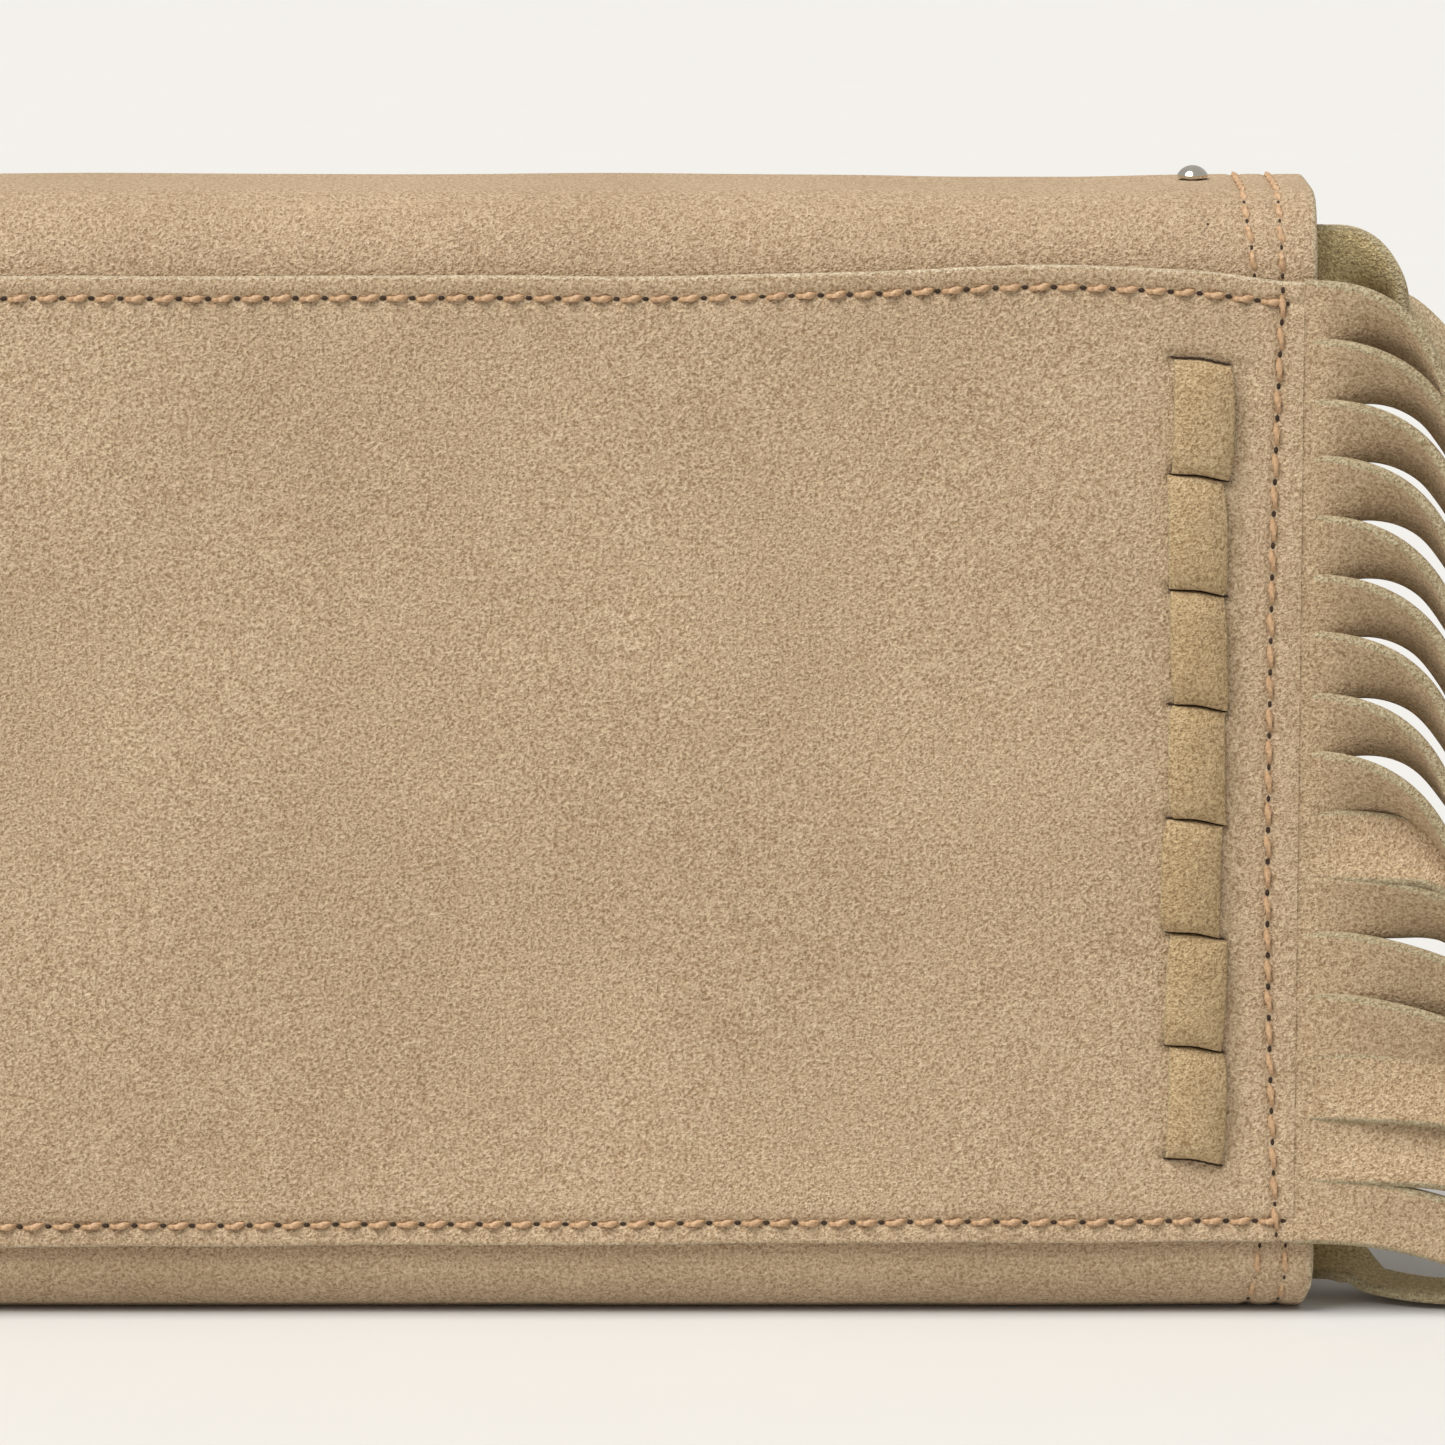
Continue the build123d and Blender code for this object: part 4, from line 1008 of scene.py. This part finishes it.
# The pinhole is a dark lens too: painted shade inside the hole.
PIN_X, PIN_TURN = 90.5, np.radians(40)
pin_way = np.array([[0.0, -np.cos(PIN_TURN), np.sin(PIN_TURN)]])
pin_spot = np.array([[PIN_X, REAR_Y, SPRING]]) + (FOLD_RADIUS - 0.3) * pin_way
pin_shape = shade_lens_shape(pin_spot, pin_way, np.array([[1.0, 0.0, 0.0]]), PIN_HOLE)
pin = make("flap_pinhole_shade", pin_shape, painted_hole_shade)
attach(pin, "flap")

# %% [markdown]
# ## Inside and fittings
# The lining, pockets, zipper, snap and rivets keep their CAD shapes. They only need finishes: a cotton
# twill, a smooth card leather, a woven tape, brass, nickel and steel. A real twill's ribs are 0.7 mm apart
# and a tape's 0.6 mm. They are drawn nearly nine times as coarse, about 6 mm apart, so they show as faint
# stripes.


# %% Finishes for the CAD pieces
def woven(name, tint, shadow, pitch, lean):
    """Woven cloth: two hex colours on ribs that lean by lean, broken up by yarn noise.

    The ribs follow sin(10 * scale * (x + y + z)). With scale = 1 / (20 * pitch), they lie 4 pi / sqrt(2), or
    8.9, pitches apart on an upright sheet.
    """
    material, tree, place = blank(name)
    turned = add(tree, "ShaderNodeMapping", {"Rotation": (lean, lean, 0.0), "Vector": place}).outputs[0]
    ribs = {"wave_type": "BANDS", "bands_direction": "DIAGONAL", "Scale": per_mm(pitch) / 20}
    ribs = add(tree, "ShaderNodeTexWave", {**ribs, "Distortion": 1.5, "Vector": turned}).outputs["Fac"]
    yarn = {"Vector": place, "Scale": per_mm(0.5), "Detail": 2.0, "Roughness": 0.6}
    yarn = add(tree, "ShaderNodeTexNoise", yarn).outputs[0]
    height = add(tree, "ShaderNodeMath", {"operation": "ADD", 0: ribs, 1: yarn}).outputs[0]
    tone = layer(tree, shadow, tint, height, -0.4, 2.0)
    surface(tree, tone, height, 0.5, 0.12, {"Roughness": 0.9, "Sheen Weight": 0.15})
    return material


def dress(material, *names):
    """Give CAD nodes a finish in their material slots."""
    for name in names:
        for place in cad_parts[name].material_slots:
            place.material = material


lining = woven("lining_cotton_twill_ecru", "#cfc0a6", "#b3a388", 0.7, 0.0)
tape = woven("zipper_tape_polyester_tan", "#a58d6f", "#866f54", 0.6, 0.4)
card_leather = plain("card_leather_veg_tan", "#b48a62", "#9c7350", 1.1, 0.5, strength=0.25)
board = plain("salpa_board_brown", "#8a6f55", "#6f583f", 0.9, 0.9)
brass = plain("brass_tumbled", "#d6b878", "#b8975a", 2.0, 0.3, metallic=1.0, strength=0.05)
steel = plain("steel_plated", "#c9c9c6", "#a9a9a6", 1.5, 0.28, metallic=1.0, strength=0.05)
nickel = plain("nickel_polished", "#e6e1d8", "#cdc7bb", 3.0, 0.12, metallic=1.0, strength=0.02)
dress(lining, "body_lining", "flap_lining", "zip_pocket_bag")
dress(tape, "zipper_tape_back", "zipper_tape_front")
dress(card_leather, "card_panel_1", "card_panel_2", "card_panel_3", "slip_pocket_panel")
dress(board, "base_stiffener")
dress(brass, "zipper_slider", "zip_puller", "zipper_teeth_back", "zipper_teeth_front")
dress(brass, "zipper_top_stops", "zipper_bottom_stop")
dress(steel, "snap_socket", "snap_socket_washer", "snap_stud", "snap_stud_washer")
dress(nickel, "rivet_top", "rivet_front", "rivet_burr_top", "rivet_burr_front")
print("finishes in all:", len(bpy.data.materials))

# %% [markdown]
# ## Floor, light and camera
# The wallet stands on a plain pale floor under one wide soft light from above, a little from the left and
# from the camera, with an even pale sky. The camera looks at the back from ten degrees above, with a long
# lens, and crops both ends.

# %% Floor
FLOOR_HALF = 4.0
mesh = bpy.data.meshes.new("floor")
corners = [(x * FLOOR_HALF, y * FLOOR_HALF, 0) for x, y in ((-1, -1), (1, -1), (1, 1), (-1, 1))]
mesh.from_pydata(corners, [], [(0, 1, 2, 3)])
floor = bpy.data.objects.new("floor", mesh)
bpy.context.scene.collection.objects.link(floor)
floor.data.materials.append(plain("floor_paper_matt", "#d3d2cf", "#d2d1ce", 30, 1.0, strength=0.0))
print("floor", 2 * FLOOR_HALF, "m square")

# %% Light
sun = bpy.data.objects.new("soft_key", bpy.data.lights.new("soft_key", "SUN"))
sun.data.energy = 3.4
sun.data.angle = np.radians(42)
sun.data.color = (1.0, 0.99, 0.975)
sun.rotation_euler = (np.radians(22), np.radians(-24), 0)
bpy.context.scene.collection.objects.link(sun)
world = bpy.data.worlds.new("pale_sky")
world.use_nodes = True
sky = world.node_tree.nodes["Background"].inputs
sky["Color"].default_value = colour("#fbf9f6")
sky["Strength"].default_value = 0.5
bpy.context.scene.world = world
bpy.context.scene.view_settings.view_transform = "Standard"
print("sun", sun.data.energy)

# %% Camera
DISTANCE = 900.0
TILT = np.radians(10.0)
AIM = np.array([39.03, PANEL_FACE, 65.7])
SPAN = 154.2
camera = bpy.data.objects.new("camera", bpy.data.cameras.new("camera"))
camera.location = (AIM + DISTANCE * np.array([0, -np.cos(TILT), np.sin(TILT)])) * MM
camera.rotation_euler = (np.pi / 2 - TILT, 0, 0)
camera.data.lens = camera.data.sensor_width * DISTANCE / SPAN
camera.data.clip_end = 20
bpy.context.scene.collection.objects.link(camera)
bpy.context.scene.camera = camera
print("lens", round(camera.data.lens, 1), "mm")
